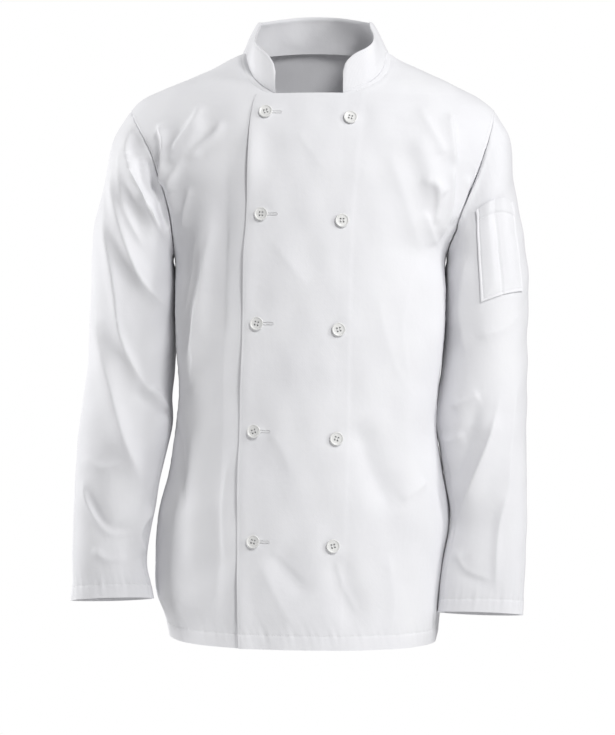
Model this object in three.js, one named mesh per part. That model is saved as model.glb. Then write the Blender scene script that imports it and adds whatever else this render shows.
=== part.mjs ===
// Double-breasted chef jacket, worn: hollow cloth walls on a general figure with hanging arms.
// Millimetres, +Z up. The front faces -Y and the wearer's left is +X.
// The origin is in the neck opening, level with the neck ends of the shoulder seams.
import * as THREE from "three";

// Cloth and seams
const WALL = 1.2;
const SEAM_GAP = 0.3;
const LAYER_GAP = 0.4;
const FLAP_LIFT = WALL + LAYER_GAP;
const FLAP_LIFT_FADE = 0.35;
const CLOTH_COLOR = 0xf3f3f1;
const BUTTON_COLOR = 0xeeeeea;

// Heights that the panels share
const HEM_Z = -762;
const HEM_DROP_LEFT = 4;
const HEM_DROP_RUN = 170;
const ARMPIT_Z = -262;
const SHOULDER_POINT_Z = -77;
const FLAP_TOP_Z = -63;
const NECK_Z = -2;
const BACK_NECK_RISE = 13;
const BACK_NECK_RISE_FROM = -60;

// Armhole: an upright superellipse seen from the side
const ARMHOLE = { front: 64, back: 72, power: 2.2 };
const ARMHOLE_GAP = 1.1;

// Body sections: how far the row reaches to the wearer's right and left, the centre front, the
// seams and the centre back from front to back, and how square it is. The armholes cut its sides.
const BODY = table(
  ["z", "right", "left", "front", "side", "back", "power"],
  [
    [0, -88, 96, -20, 5, 79, 2],
    [-10, -107, 113, -31, 5, 90, 2],
    [-21, -129, 136, -45, 5, 97, 2],
    [-32, -153, 160, -58, 5, 103, 2],
    [-43, -179, 183, -70, 5, 108, 2],
    [-53, -203, 201, -78, 5, 111, 2],
    [-63, -221, 217, -84, 5, 114, 2],
    [-77, -236, 236, -91, 5, 118, 2],
    [-95, -249, 253, -98, 5, 121, 2],
    [-118, -251, 260, -105, 5, 124, 2],
    [-140, -243, 255, -109, 5, 126, 2.05],
    [-164, -232, 243, -113, 5, 127, 2.1],
    [-192, -217, 226, -116, 5, 128, 2.1],
    [-229, -196, 200, -119, 5, 127, 2.15],
    [-262, -181, 175, -121, 4, 126, 2.2],
    [-309, -178.5, 171.5, -123, -4, 120, 2.3],
    [-374, -178, 169.5, -124, -8, 112, 2.3],
    [-439, -174, 163, -124, -2, 109, 2.3],
    [-491, -179, 161, -126, 8, 113, 2.3],
    [-543, -187, 170, -128, 20, 121, 2.3],
    [-602, -202, 180, -131, 28, 130, 2.3],
    [-660, -206, 174, -134, 36, 135, 2.3],
    [-708, -205, 169, -136, 38, 138, 2.3],
    [-740, -192, 165, -137, 34, 139, 2.3],
    [-770, -186, 159, -138, 30, 139, 2.3],
  ],
);

// Lines drawn on the fronts: the flap's edge and the hidden edge of the front under it.
const FRONT_EDGES = table(
  ["z", "flap", "under"],
  [
    [-60, -71, 61],
    [-75, -76, 60],
    [-111, -80, 57],
    [-213, -83.5, 48],
    [-278, -86.5, 45],
    [-400, -89, 43],
    [-493, -92, 42],
    [-604, -94, 38],
    [-683, -94, 35],
    [-770, -91, 33],
  ],
);

// Neckline of the fronts, from the neck ends of the shoulder seams to the ends of the collar.
const NECKLINE = table(
  ["z", "right", "left"],
  [
    [0, -87, 95],
    [-16, -84.5, 93],
    [-30, -80, 88],
    [-42, -74, 79],
    [-51, -65, 67],
    [-58, -55, 52],
    [-63, -48, 38],
  ],
);

// Stand collar: heights in the middle and at its ends, the run over which an end rises, and how
// many degrees it leans in at its ends, sides and back, with the shares along it that these span
const COLLAR = {
  height: 45,
  endHeight: 27,
  endRun: 26,
  endLean: -1,
  sideLean: 26,
  backLean: 20,
  sideShares: [0.11, 0.44],
  backShares: [0.6, 1],
};
const COLLAR_SEAT = 0.8;

// Sleeves: distance down the outer line, that line, the inner line, and the section's depths
const SLEEVE_COLUMNS = [
  "down", "outerX", "outerZ", "innerX", "innerZ", "middle", "front", "back", "tip", "power",
];
const SLEEVES = {
  right: table(SLEEVE_COLUMNS, [
    [0, -236, -77, -181, -262, 5, 64, 72, 0, 2.2],
    [40, -258, -113, -180.5, -277, 8, 71, 68, 0, 2.2],
    [96, -270, -169, -179, -296, 14, 77, 60, 0, 2.2],
    [148, -284, -220, -178.2, -318, 21, 81, 51, 0, 2.2],
    [190, -288, -262, -177.9, -342, 26, 84, 45, 0, 2.2],
    [248, -290, -320, -177.8, -374, 27, 81, 43, 0, 2.15],
    [308, -292, -380, -179.5, -410, 23, 74, 45, 2, 2.1],
    [360, -296, -432, -182, -446, 15, 65, 48, 4, 2.1],
    [411, -303, -483, -182, -488, 6, 57, 50, 5, 2.1],
    [458, -307, -530, -193, -532, -3, 49, 50, 5, 2.1],
    [508, -309, -580, -202, -581, -8, 45, 45, 5, 2.1],
    [556, -311, -628, -211, -627, -13, 40, 40, 5, 2.15],
    [596, -311, -668, -214, -665, -17, 36, 36, 5, 2.2],
    [620, -310.5, -692, -208, -690, -19, 33, 33, 5, 2.2],
    [639, -312, -711, -205, -708, -20, 31, 31, 5, 2.2],
  ]),
  left: table(SLEEVE_COLUMNS, [
    [0, 236, -77, 175, -262, 5, 64, 72, 0, 2.2],
    [40, 256, -113, 174.5, -276, 8, 71, 68, 0, 2.2],
    [96, 261, -164, 173.3, -296, 14, 77, 60, 0, 2.2],
    [136, 268, -204, 172, -318, 20, 80, 52, 0, 2.2],
    [179, 275.5, -246, 171, -342, 25, 84, 45, 0, 2.2],
    [225, 281, -291, 170.2, -362, 26, 84, 41, 0, 2.15],
    [284, 280, -350, 169.6, -388, 23, 80, 40, 2, 2.1],
    [335, 279, -402, 166.4, -418, 16, 73, 42, 4, 2.1],
    [374, 278, -441, 162, -450, 8, 66, 43, 5, 2.1],
    [415, 277.5, -482, 160, -485, 0, 59, 44, 5, 2.1],
    [440, 277, -507, 166, -508, -4, 55, 44, 5, 2.1],
    [490, 276, -557, 173, -557, -12, 49, 41, 5, 2.1],
    [547, 275, -614, 180, -613, -22, 40, 40, 5, 2.15],
    [599, 273, -666, 167, -668, -26, 36, 35, 5, 2.2],
    [662, 270.5, -729, 161, -725, -29, 31, 31, 5, 2.2],
  ]),
};

// Seams of the two-piece sleeves, as angles round the section: 0 outermost, 90 front, 180 innermost
const SLEEVE_SEAMS = table(
  ["down", "rear", "inner"],
  [
    [0, -62, 168],
    [200, -45, 165],
    [360, -14, 163],
    [500, 16, 162],
    [670, 24, 160],
  ],
);

// Pen pocket on the left upper sleeve: its corners as seen from the front
const POCKET = {
  upperInner: [208.5, -210],
  upperOuter: [255, -199],
  lowerInner: [214.5, -327],
  lowerOuter: [268, -312],
  seat: 0.5,
};

// Buttons: two columns of five on the flap
const BUTTON = { radius: 8.5, thick: 3.2, rim: 1.5, dish: 0.9, bevel: 0.7, seat: 0.4, sides: 14 };
const BUTTONS = table(
  ["edgeX", "edgeZ", "innerX", "innerZ"],
  [
    [-59.4, -88, 46.9, -95.7],
    [-64.5, -217.6, 35.9, -226],
    [-69.8, -355, 31.6, -362.5],
    [-73.3, -490, 28.9, -499],
    [-74.2, -627.6, 24.5, -632.6],
  ],
);

// Largest folds, seen from the front or the back: a smooth curve from, via and to, its half width,
// and its height out of the cloth, which is negative for a trough.
const FOLD_COLUMNS = ["on", "from", "via", "to", "width", "height"];
const FOLDS = table(FOLD_COLUMNS, [
  ["front", [-127, -200], [-141, -310], [-160, -450], 13, 6],
  ["front", [-150, -250], [-158, -340], [-166, -400], 12, -5],
  ["front", [-140, -88], [-158, -125], [-182, -160], 11, 4.5],
  ["front", [-176, -150], [-186, -180], [-178, -230], 11, 5],
  ["front", [-152, -480], [-150, -580], [-158, -690], 16, 5],
  ["front", [52, -470], [74, -535], [104, -600], 22, -6],
  ["front", [24, -640], [38, -690], [62, -750], 20, -5],
  ["front", [-54, -630], [-30, -665], [-2, -700], 16, -4],
  ["front", [128, -110], [146, -160], [158, -215], 15, 5],
  ["front", [132, -420], [122, -520], [130, -640], 20, 5],
  ["back", [-150, -170], [-120, -300], [-128, -440], 18, 6],
  ["back", [156, -160], [118, -290], [112, -430], 19, 6],
  ["back", [-60, -360], [-20, -410], [40, -420], 20, -5],
  ["back", [-95, -480], [-110, -600], [-100, -740], 22, 7],
  ["back", [70, -500], [92, -620], [84, -750], 24, 7],
  ["back", [-180, -590], [-192, -670], [-184, -755], 14, 6],
  ["rightSleeveFront", [-233, -100], [-228, -170], [-187, -250], 11, 6],
  ["rightSleeveFront", [-252, -140], [-240, -245], [-184, -338], 12, 5],
  ["rightSleeveFront", [-266, -180], [-255, -290], [-232, -392], 13, 4],
  ["rightSleeveFront", [-226, -424], [-204, -440], [-182, -470], 10, -5],
  ["rightSleeveFront", [-256, -440], [-234, -512], [-200, -584], 15, 6],
  ["rightSleeveFront", [-296, -560], [-268, -616], [-222, -622], 12, -5],
  ["rightSleeveBack", [-262, -390], [-230, -420], [-190, -430], 13, -6],
  ["rightSleeveBack", [-280, -190], [-248, -270], [-200, -330], 14, 5],
  ["rightSleeveBack", [-300, -470], [-262, -520], [-214, -580], 14, 5],
  ["leftSleeveFront", [239, -430], [222, -510], [182, -618], 14, 7],
  ["leftSleeveFront", [214, -440], [196, -510], [176, -570], 11, -4],
  ["leftSleeveFront", [186, -650], [196, -672], [224, -682], 10, -5],
  ["leftSleeveFront", [206, -120], [196, -190], [184, -260], 11, 5],
  ["leftSleeveBack", [262, -390], [226, -425], [180, -430], 13, -6],
  ["leftSleeveBack", [266, -180], [240, -260], [194, -320], 14, 5],
  ["leftSleeveBack", [272, -480], [236, -540], [190, -590], 14, 5],
]);
const FOLD_STEPS = 10;
const FOLD_END = 0.28;
const EDGE_FADE = 0.25;
const ARMHOLE_FADE = 40;

// How finely the panels are divided
const LOW_ROWS = 19;
const ARMHOLE_ROWS = 13;
const SHOULDER_ROWS = [-63, -52, -41, -30, -20, -11, NECK_Z];
const COLUMNS = { side: 8, flapEdge: 2, middle: 4, under: 1 };
const BACK_COLUMNS = 18;
const SLEEVE_ROWS = 23;
const SLEEVE_ROWS_EVEN = 0.8;
const SLEEVE_RADIUS = 60;
const SEAM_NORMAL_RUN = 12;
const UPPER_COLUMNS = 18;
const UNDER_COLUMNS = 9;
const COLLAR_COLUMNS = 34;
const COLLAR_ROWS = 3;
const POCKET_COLUMNS = 6;
const POCKET_ROWS = 8;

const UP = new THREE.Vector3(0, 0, 1);
const SIDE_SIGN = { right: -1, left: 1 };
const QUARTER = Math.PI / 2;
const { clamp, degToRad, lerp, smoothstep } = THREE.MathUtils;

function table(names, rows) {
  return rows.map((row) => Object.fromEntries(names.map((name, i) => [name, row[i]])));
}

// A smooth curve through every column of a table, read at a value of its first column.
function curves(rows) {
  const [key, ...names] = Object.keys(rows[0]);
  const sorted = [...rows].sort((a, b) => a[key] - b[key]);
  const last = sorted.length - 1;
  const slope = (i, name) => {
    const before = sorted[Math.max(i - 1, 0)];
    const after = sorted[Math.min(i + 1, last)];
    return (after[name] - before[name]) / (after[key] - before[key]);
  };
  return (value) => {
    const v = clamp(value, sorted[0][key], sorted[last][key]);
    let i = 0;
    while (i < last - 1 && v > sorted[i + 1][key]) i += 1;
    const step = sorted[i + 1][key] - sorted[i][key];
    const t = (v - sorted[i][key]) / step;
    const made = {};
    for (const name of names) {
      const rise = t * t * (3 - 2 * t);
      made[name] =
        lerp(sorted[i][name], sorted[i + 1][name], rise) +
        step * slope(i, name) * t * (1 - t) * (1 - t) -
        step * slope(i + 1, name) * t * t * (1 - t);
    }
    return made;
  };
}

const bodyRow = curves(BODY);
const frontEdges = curves(FRONT_EDGES);
const neckline = curves(NECKLINE);
const sleeveRow = { right: curves(SLEEVES.right), left: curves(SLEEVES.left) };
const sleeveSeams = curves(SLEEVE_SEAMS);

// Depth of a unit superellipse at a distance from its middle.
function roundness(across, power) {
  return Math.max(0, 1 - Math.abs(across) ** power) ** (1 / power);
}

// How far the armhole reaches to the front or the back of the seams at a height.
function armholeDepth(face, z) {
  const middle = (SHOULDER_POINT_Z + ARMPIT_Z) / 2;
  const half = (SHOULDER_POINT_Z - ARMPIT_Z) / 2;
  return ARMHOLE[face] * roundness(clamp((z - middle) / half, -1, 1), ARMHOLE.power);
}

// The largest folds of one surface, each as a list of points.
function foldsOn(on) {
  return FOLDS.filter((fold) => fold.on === on).map((fold) => {
    const [from, via, to] = [fold.from, fold.via, fold.to].map((p) => new THREE.Vector2(...p));
    const bend = via.clone().multiplyScalar(2).sub(from.clone().add(to).multiplyScalar(0.5));
    const curve = new THREE.QuadraticBezierCurve(from, bend, to);
    return { ...fold, points: curve.getPoints(FOLD_STEPS) };
  });
}

// Height of the folds at a point seen from the front or the back.
function foldHeight(folds, x, z) {
  const point = new THREE.Vector2(x, z);
  const nearest = new THREE.Vector2();
  let height = 0;
  for (const fold of folds) {
    let distance = Infinity;
    let along = 0;
    for (let i = 0; i < FOLD_STEPS; i += 1) {
      const [a, b] = [fold.points[i], fold.points[i + 1]];
      const run = b.clone().sub(a);
      const share = clamp(point.clone().sub(a).dot(run) / run.lengthSq(), 0, 1);
      nearest.copy(a).addScaledVector(run, share);
      const found = nearest.distanceTo(point);
      if (found < distance) {
        distance = found;
        along = (i + share) / FOLD_STEPS;
      }
    }
    const ends = smoothstep(Math.min(along, 1 - along), 0, FOLD_END);
    height += fold.height * ends * Math.exp(-((distance / fold.width) ** 2));
  }
  return height;
}

const bodyFolds = { front: foldsOn("front"), back: foldsOn("back") };

// A row of the body on one face, with the share of its half width that the armhole leaves.
function bodySection(face, row) {
  const section = bodyRow(row);
  const depth = face === "front" ? section.side - section.front : section.back - section.side;
  const reach = roundness(armholeDepth(face, row) / depth, section.power);
  return { ...section, depth: face === "front" ? -depth : depth, reach };
}

// Where the armhole's edge lies from side to side.
function armholeX(face, side, z) {
  const { right, left, reach } = bodySection(face, z);
  return lerp(right, left, (1 + SIDE_SIGN[side] * reach) / 2);
}

// A point of the bare body form: s runs from -1 at the right seam to 1 at the left seam.
function bodyForm(face, s, row) {
  const { right, left, side, depth, reach, power } = bodySection(face, row);
  const across = reach * Math.sin(s * QUARTER);
  const y = side + depth * roundness(across, power);
  const hemShare = 1 - smoothstep(row, HEM_Z, HEM_Z + HEM_DROP_RUN);
  let z = row - HEM_DROP_LEFT * s * hemShare;
  if (face === "back") {
    z += BACK_NECK_RISE * smoothstep(row, BACK_NECK_RISE_FROM, NECK_Z) * (1 - across * across);
  }
  return new THREE.Vector3(lerp(right, left, (across + 1) / 2), y, z);
}

// Unit normal of a surface of two values, from small steps that stay inside their limits.
function normalOf(surface, a, b, limits, outward) {
  const [stepA, stepB] = limits.steps;
  const at = (p, q) =>
    surface(clamp(p, ...limits.a), clamp(q, ...limits.b));
  const acrossA = at(a + stepA, b).sub(at(a - stepA, b));
  const acrossB = at(a, b + stepB).sub(at(a, b - stepB));
  return acrossA.cross(acrossB).normalize().multiplyScalar(outward);
}

const BODY_LIMITS = { a: [-0.995, 0.995], b: [-770, -1], steps: [0.01, 3] };

// A point of the worn body with its normal, with the largest folds in it.
function bodyPoint(face, s, row) {
  const form = (a, b) => bodyForm(face, a, b);
  const point = form(s, row);
  const normal = normalOf(form, s, row, BODY_LIMITS, face === "front" ? 1 : -1);
  const fade = smoothstep(1 - Math.abs(s), 0, EDGE_FADE);
  point.addScaledVector(normal, fade * foldHeight(bodyFolds[face], point.x, point.z));
  return { point, normal };
}

// Where a line at x crosses a row of the front, as s.
function frontShare(x, row) {
  const { right, left, reach } = bodySection("front", row);
  const across = clamp((2 * x - right - left) / (left - right), -reach, reach);
  return Math.asin(across / reach) / QUARTER;
}

// The lines that both fronts share in a row, from the right seam to the left seam. The neckline's
// two lines run on below the flap's top between the flap's edge and the hidden edge.
function frontLines(row) {
  const edges = frontEdges(Math.min(row, FLAP_TOP_Z));
  const neck = neckline(Math.max(row, FLAP_TOP_Z));
  const lines = {
    flap: frontShare(edges.flap, row),
    collarRight: frontShare(neck.right, row),
    collarLeft: frontShare(neck.left, row),
    under: frontShare(edges.under, row),
  };
  if (row === FLAP_TOP_Z) return lines;
  const base = frontLines(FLAP_TOP_Z);
  if (row > FLAP_TOP_Z) {
    const rightShare = (base.flap + 1) / (base.collarRight + 1);
    const leftShare = (base.under - base.collarLeft) / (1 - base.collarLeft);
    lines.flap = lerp(-1, lines.collarRight, rightShare);
    lines.under = lerp(lines.collarLeft, 1, leftShare);
  } else {
    const width = base.under - base.flap;
    lines.collarRight = lerp(lines.flap, lines.under, (base.collarRight - base.flap) / width);
    lines.collarLeft = lerp(lines.flap, lines.under, (base.collarLeft - base.flap) / width);
  }
  return lines;
}

// The s values of a row's columns, and where the named lines lie among them.
function frontColumns(row) {
  const { flap, collarRight, collarLeft, under } = frontLines(row);
  const stops = [-1, flap, collarRight, collarLeft, under, 1];
  const { side, flapEdge, middle, under: last } = COLUMNS;
  const counts = [side, flapEdge, middle, last, side];
  const made = [-1];
  counts.forEach((count, k) => {
    for (let i = 1; i <= count; i += 1) made.push(lerp(stops[k], stops[k + 1], i / count));
  });
  return made;
}

const COLUMN_OF = {
  flap: COLUMNS.side,
  collarRight: COLUMNS.side + COLUMNS.flapEdge,
  collarLeft: COLUMNS.side + COLUMNS.flapEdge + COLUMNS.middle,
  under: COLUMNS.side + COLUMNS.flapEdge + COLUMNS.middle + COLUMNS.under,
};

function bodyRows() {
  const rows = [];
  for (let i = 0; i < LOW_ROWS; i += 1) rows.push(lerp(HEM_Z, ARMPIT_Z, i / LOW_ROWS));
  for (let i = 0; i <= ARMHOLE_ROWS; i += 1) {
    const turn = Math.PI * (i / ARMHOLE_ROWS);
    rows.push(lerp(ARMPIT_Z, SHOULDER_POINT_Z, (1 - Math.cos(turn)) / 2));
  }
  return [...rows, ...SHOULDER_ROWS];
}

// How far the flap's outer side stands off the front under it.
function flapLift(s, row) {
  const { under } = frontLines(row);
  return FLAP_LIFT * (1 - smoothstep(s, under, under + FLAP_LIFT_FADE));
}

// Closes a grid of points into a thin solid: outer and inner points, and which cells are kept.
// The outer side is the one from which the cells run anticlockwise.
function shell(outer, inner, keep = () => true) {
  const [high, wide] = [outer.length, outer[0].length];
  const positions = [...outer.flat(), ...inner.flat()].flatMap((p) => p.toArray());
  const behind = high * wide;
  const index = [];
  const edges = new Map();
  const quad = (a, b, c, d) => index.push(a, b, c, a, c, d);
  for (let j = 0; j < high - 1; j += 1) {
    for (let i = 0; i < wide - 1; i += 1) {
      if (!keep(i, j)) continue;
      const a = j * wide + i;
      const corners = [a, a + 1, a + wide + 1, a + wide];
      quad(...corners);
      quad(...[corners[2], corners[1], corners[0], corners[3]].map((corner) => corner + behind));
      corners.forEach((corner, k) => {
        edges.set(`${corner} ${corners[(k + 1) % 4]}`, [corner, corners[(k + 1) % 4]]);
      });
    }
  }
  for (const [p, q] of edges.values()) {
    if (!edges.has(`${q} ${p}`)) quad(q, p, p + behind, q + behind);
  }
  const used = [...new Set(index)];
  const renumbered = new Map(used.map((old, i) => [old, i]));
  const geometry = new THREE.BufferGeometry();
  const kept = used.flatMap((old) => positions.slice(3 * old, 3 * old + 3));
  geometry.setAttribute("position", new THREE.Float32BufferAttribute(kept, 3));
  geometry.setIndex(index.map((old) => renumbered.get(old)));
  geometry.computeVertexNormals();
  return geometry;
}

const jacket = new THREE.Group();

function addPiece(name, geometry, color = CLOTH_COLOR, roughness = 0.85) {
  const material = new THREE.MeshStandardMaterial({ color, roughness, metalness: 0 });
  const mesh = new THREE.Mesh(geometry, material);
  mesh.name = name;
  jacket.add(mesh);
  return mesh;
}

// A wall of a panel from its surface: rows of columns, each a point with its normal and lift.
function panel(rows, columnsOf, place) {
  const outer = [];
  const inner = [];
  for (const row of rows) {
    const placed = columnsOf(row).map((column) => place(column, row));
    outer.push(placed.map(({ point, normal, lift }) => point.clone().addScaledVector(normal, lift)));
    inner.push(
      placed.map(({ point, normal, lift }) => point.clone().addScaledVector(normal, lift - WALL)),
    );
  }
  return [outer, inner];
}

function partAtSeam(point, s, face) {
  if (Math.abs(s) > 1 - 1e-6) point.y += (face === "front" ? -0.5 : 0.5) * SEAM_GAP;
}

function makeFronts() {
  const rows = bodyRows();
  const topRow = rows.indexOf(FLAP_TOP_Z);
  const place = (liftOf) => (s, row) => {
    const made = bodyPoint("front", s, row);
    partAtSeam(made.point, s, "front");
    return { ...made, lift: liftOf(s, row) };
  };
  const right = panel(rows, frontColumns, place(() => 0));
  const left = panel(rows, frontColumns, place(flapLift));
  addPiece(
    "front_right",
    shell(...right, (i, j) => i < (j < topRow ? COLUMN_OF.under : COLUMN_OF.collarRight)),
  );
  addPiece(
    "front_left",
    shell(...left, (i, j) => i >= (j < topRow ? COLUMN_OF.flap : COLUMN_OF.collarLeft)),
  );
}

function makeBack() {
  const columns = Array.from({ length: BACK_COLUMNS + 1 }, (_, i) => 1 - (2 * i) / BACK_COLUMNS);
  const [outer, inner] = panel(bodyRows(), () => columns, (s, row) => {
    const made = bodyPoint("back", s, row);
    partAtSeam(made.point, s, "back");
    return { ...made, lift: 0 };
  });
  addPiece("back", shell(outer, inner));
}

const SLEEVE_LENGTH = {
  right: SLEEVES.right.at(-1).down,
  left: SLEEVES.left.at(-1).down,
};
const sleeveFolds = {
  right: { front: foldsOn("rightSleeveFront"), back: foldsOn("rightSleeveBack") },
  left: { front: foldsOn("leftSleeveFront"), back: foldsOn("leftSleeveBack") },
};

// A point of the bare sleeve form at an angle round the arm and a distance down it.
function sleeveForm(side, angle, down) {
  const row = sleeveRow[side](down);
  const [across, towards] = [Math.cos(angle), -Math.sin(angle)];
  const depth = towards < 0 ? -row.front : row.back;
  let x = lerp(row.innerX, row.outerX, (across + 1) / 2);
  const y = row.middle + depth * roundness(across, row.power);
  const z = lerp(row.innerZ, row.outerZ, (across + 1) / 2) - row.tip * towards;
  const face = towards < 0 ? "front" : "back";
  const first = SLEEVES[side][0];
  const seamX = armholeX(face, side, lerp(first.innerZ, first.outerZ, (across + 1) / 2));
  const straightX = lerp(first.innerX, first.outerX, (across + 1) / 2);
  x += (seamX - straightX) * (1 - smoothstep(down, 0, ARMHOLE_FADE));
  return new THREE.Vector3(x + SIDE_SIGN[side] * ARMHOLE_GAP, y, z);
}

// A point of the worn sleeve with its normal, with the largest folds in it.
function sleevePoint(side, angle, down) {
  const form = (a, b) => sleeveForm(side, a, b);
  const limits = { a: [-10, 10], b: [0, SLEEVE_LENGTH[side]], steps: [0.02, 3] };
  const point = form(angle, down);
  const normal = normalOf(form, angle, down, limits, SIDE_SIGN[side]);
  const fade = smoothstep(down, 0, ARMHOLE_FADE);
  const facing = smoothstep(-normal.y, 0, 0.5);
  const behind = smoothstep(normal.y, 0, 0.5);
  const { front, back } = sleeveFolds[side];
  const height =
    facing * foldHeight(front, point.x, point.z) + behind * foldHeight(back, point.x, point.z);
  point.addScaledVector(normal, fade * height);
  return { point, normal };
}

// Near the armhole the sleeve's wall runs in the direction of the body's wall, so their edges face.
function seamNormal(side, angle, down, normal) {
  const face = Math.sin(angle) >= 0 ? "front" : "back";
  const { point } = sleevePoint(side, angle, 0);
  const form = (a, b) => bodyForm(face, a, b);
  const row = clamp(point.z, ARMPIT_Z, SHOULDER_POINT_Z);
  const edge = normalOf(form, SIDE_SIGN[side], row, BODY_LIMITS, face === "front" ? 1 : -1);
  const share = smoothstep(edge.dot(normal), 0, 0.5) * (1 - smoothstep(down, 0, SEAM_NORMAL_RUN));
  return normal.clone().lerp(edge, share).normalize();
}

// A sleeve piece between two seam lines.
function sleevePiece(side, columns, startOf, endOf) {
  const clear = SEAM_GAP / 2 / SLEEVE_RADIUS;
  const rows = Array.from({ length: SLEEVE_ROWS + 1 }, (_, j) => {
    const share = j / SLEEVE_ROWS;
    return SLEEVE_LENGTH[side] * lerp(share * share, share, SLEEVE_ROWS_EVEN);
  });
  const order = Array.from({ length: columns + 1 }, (_, i) => i / columns);
  if (side === "right") order.reverse();
  const [outer, inner] = panel(
    rows,
    (down) => {
      const seams = sleeveSeams(down);
      const [start, end] = [degToRad(startOf(seams)) + clear, degToRad(endOf(seams)) - clear];
      return order.map((share) => lerp(start, end, share));
    },
    (angle, down) => {
      const { point, normal } = sleevePoint(side, angle, down);
      return { point, normal: seamNormal(side, angle, down, normal), lift: 0 };
    },
  );
  return shell(outer, inner);
}

function makeSleeves() {
  for (const side of ["right", "left"]) {
    const upper = sleevePiece(side, UPPER_COLUMNS, (s) => s.rear, (s) => s.inner);
    const under = sleevePiece(side, UNDER_COLUMNS, (s) => s.inner, (s) => s.rear + 360);
    addPiece(`sleeve_${side}_upper`, upper);
    addPiece(`sleeve_${side}_under`, under);
  }
}

// Points along the neckline, from the collar's right end round the back to its left end.
function necklinePoints() {
  const steps = [-63, -58, -51, -42, -30, -18, -9, -4];
  const frontPoint = (side) => (row) => {
    const s = frontShare(neckline(row)[side], row);
    const { point, normal } = bodyPoint("front", s, row);
    return point.addScaledVector(normal, side === "left" ? flapLift(s, row) : 0);
  };
  const backShares = [-0.93, -0.7, -0.46, -0.22, 0, 0.22, 0.46, 0.7, 0.93];
  return [
    ...steps.map(frontPoint("right")),
    ...backShares.map((s) => bodyPoint("back", s, NECK_Z).point),
    ...[...steps].reverse().map(frontPoint("left")),
  ];
}

// One ply of the stand collar, between two depths inside its outer side.
function collarPly(base, from, to) {
  const length = base.getLength();
  const [outer, inner] = [[], []];
  for (let j = 0; j <= COLLAR_ROWS; j += 1) {
    outer.push([]);
    inner.push([]);
    for (let i = 0; i <= COLLAR_COLUMNS; i += 1) {
      const share = i / COLLAR_COLUMNS;
      const end = clamp((Math.min(share, 1 - share) * length) / COLLAR.endRun, 0, 1);
      const rise = Math.sqrt(1 - (1 - end) ** 2);
      const height = lerp(COLLAR.endHeight, COLLAR.height, rise) * (j / COLLAR_ROWS);
      const middle = 1 - Math.abs(2 * share - 1);
      const lean = degToRad(
        lerp(COLLAR.endLean, COLLAR.sideLean, smoothstep(middle, ...COLLAR.sideShares)) +
          (COLLAR.backLean - COLLAR.sideLean) * smoothstep(middle, ...COLLAR.backShares),
      );
      const along = base.getTangentAt(share);
      const inward = along.clone().cross(UP).normalize();
      const rising = UP.clone().multiplyScalar(Math.cos(lean));
      rising.addScaledVector(inward, Math.sin(lean));
      const through = along.clone().cross(rising).normalize();
      const seat = COLLAR_SEAT + 2 * WALL * Math.sin(lean);
      const point = base.getPointAt(share).addScaledVector(UP, seat);
      point.addScaledVector(rising, height);
      outer[j].push(point.clone().addScaledVector(through, from));
      inner[j].push(point.clone().addScaledVector(through, to));
    }
    outer[j].reverse();
    inner[j].reverse();
  }
  return shell(outer, inner);
}

function makeCollar() {
  const base = new THREE.CatmullRomCurve3(necklinePoints(), false, "centripetal");
  addPiece("collar_outer", collarPly(base, 0, WALL));
  addPiece("collar_inner", collarPly(base, WALL + LAYER_GAP, 2 * WALL + LAYER_GAP));
}

// The angle and distance at which a sleeve's front lies at x and z.
function sleeveAt(side, x, z) {
  let angle = degToRad(70);
  let down = 150;
  for (let i = 0; i < 12; i += 1) {
    const here = sleeveForm(side, angle, down);
    const turned = sleeveForm(side, angle + 0.01, down).sub(here).divideScalar(0.01);
    const lower = sleeveForm(side, angle, down + 1).sub(here);
    const [dx, dz] = [x - here.x, z - here.z];
    const scale = turned.x * lower.z - turned.z * lower.x;
    angle += (dx * lower.z - dz * lower.x) / scale;
    down += (turned.x * dz - turned.z * dx) / scale;
  }
  return [angle, down];
}

function makePocket() {
  const { upperInner, upperOuter, lowerInner, lowerOuter, seat } = POCKET;
  const corners = [lowerInner, lowerOuter, upperInner, upperOuter].map((corner) =>
    sleeveAt("left", ...corner),
  );
  const [outer, inner] = [[], []];
  for (let j = 0; j <= POCKET_ROWS; j += 1) {
    outer.push([]);
    inner.push([]);
    for (let i = 0; i <= POCKET_COLUMNS; i += 1) {
      const [u, v] = [i / POCKET_COLUMNS, j / POCKET_ROWS];
      const mix = (k) =>
        lerp(lerp(corners[0][k], corners[1][k], u), lerp(corners[2][k], corners[3][k], u), v);
      const { point, normal } = sleevePoint("left", mix(0), mix(1));
      outer[j].push(point.clone().addScaledVector(normal, seat + WALL));
      inner[j].push(point.clone().addScaledVector(normal, seat));
    }
  }
  addPiece("sleeve_pocket", shell(outer, inner));
}

function buttonGeometry() {
  const { radius, thick, rim, dish, bevel, sides } = BUTTON;
  const profile = [
    [0, 0],
    [radius - bevel, 0],
    [radius, bevel],
    [radius, thick - bevel],
    [radius - bevel, thick],
    [radius - rim, thick],
    [radius - rim - dish, thick - dish],
    [0, thick - dish],
  ].map(([r, h]) => new THREE.Vector2(r, h));
  return new THREE.LatheGeometry(profile, sides).rotateX(Math.PI / 2);
}

function makeButtons() {
  const place = (name, x, z) => {
    const s = frontShare(x, z);
    const { point, normal } = bodyPoint("front", s, z);
    const button = addPiece(name, buttonGeometry(), BUTTON_COLOR, 0.4);
    button.quaternion.setFromUnitVectors(UP, normal);
    button.position.copy(point).addScaledVector(normal, flapLift(s, z) + BUTTON.seat);
  };
  BUTTONS.forEach(({ edgeX, edgeZ, innerX, innerZ }, i) => {
    place(`button_edge_${i + 1}`, edgeX, edgeZ);
    place(`button_inner_${i + 1}`, innerX, innerZ);
  });
}

makeFronts();
makeBack();
makeSleeves();
makeCollar();
makePocket();
makeButtons();

export default jacket;
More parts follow.
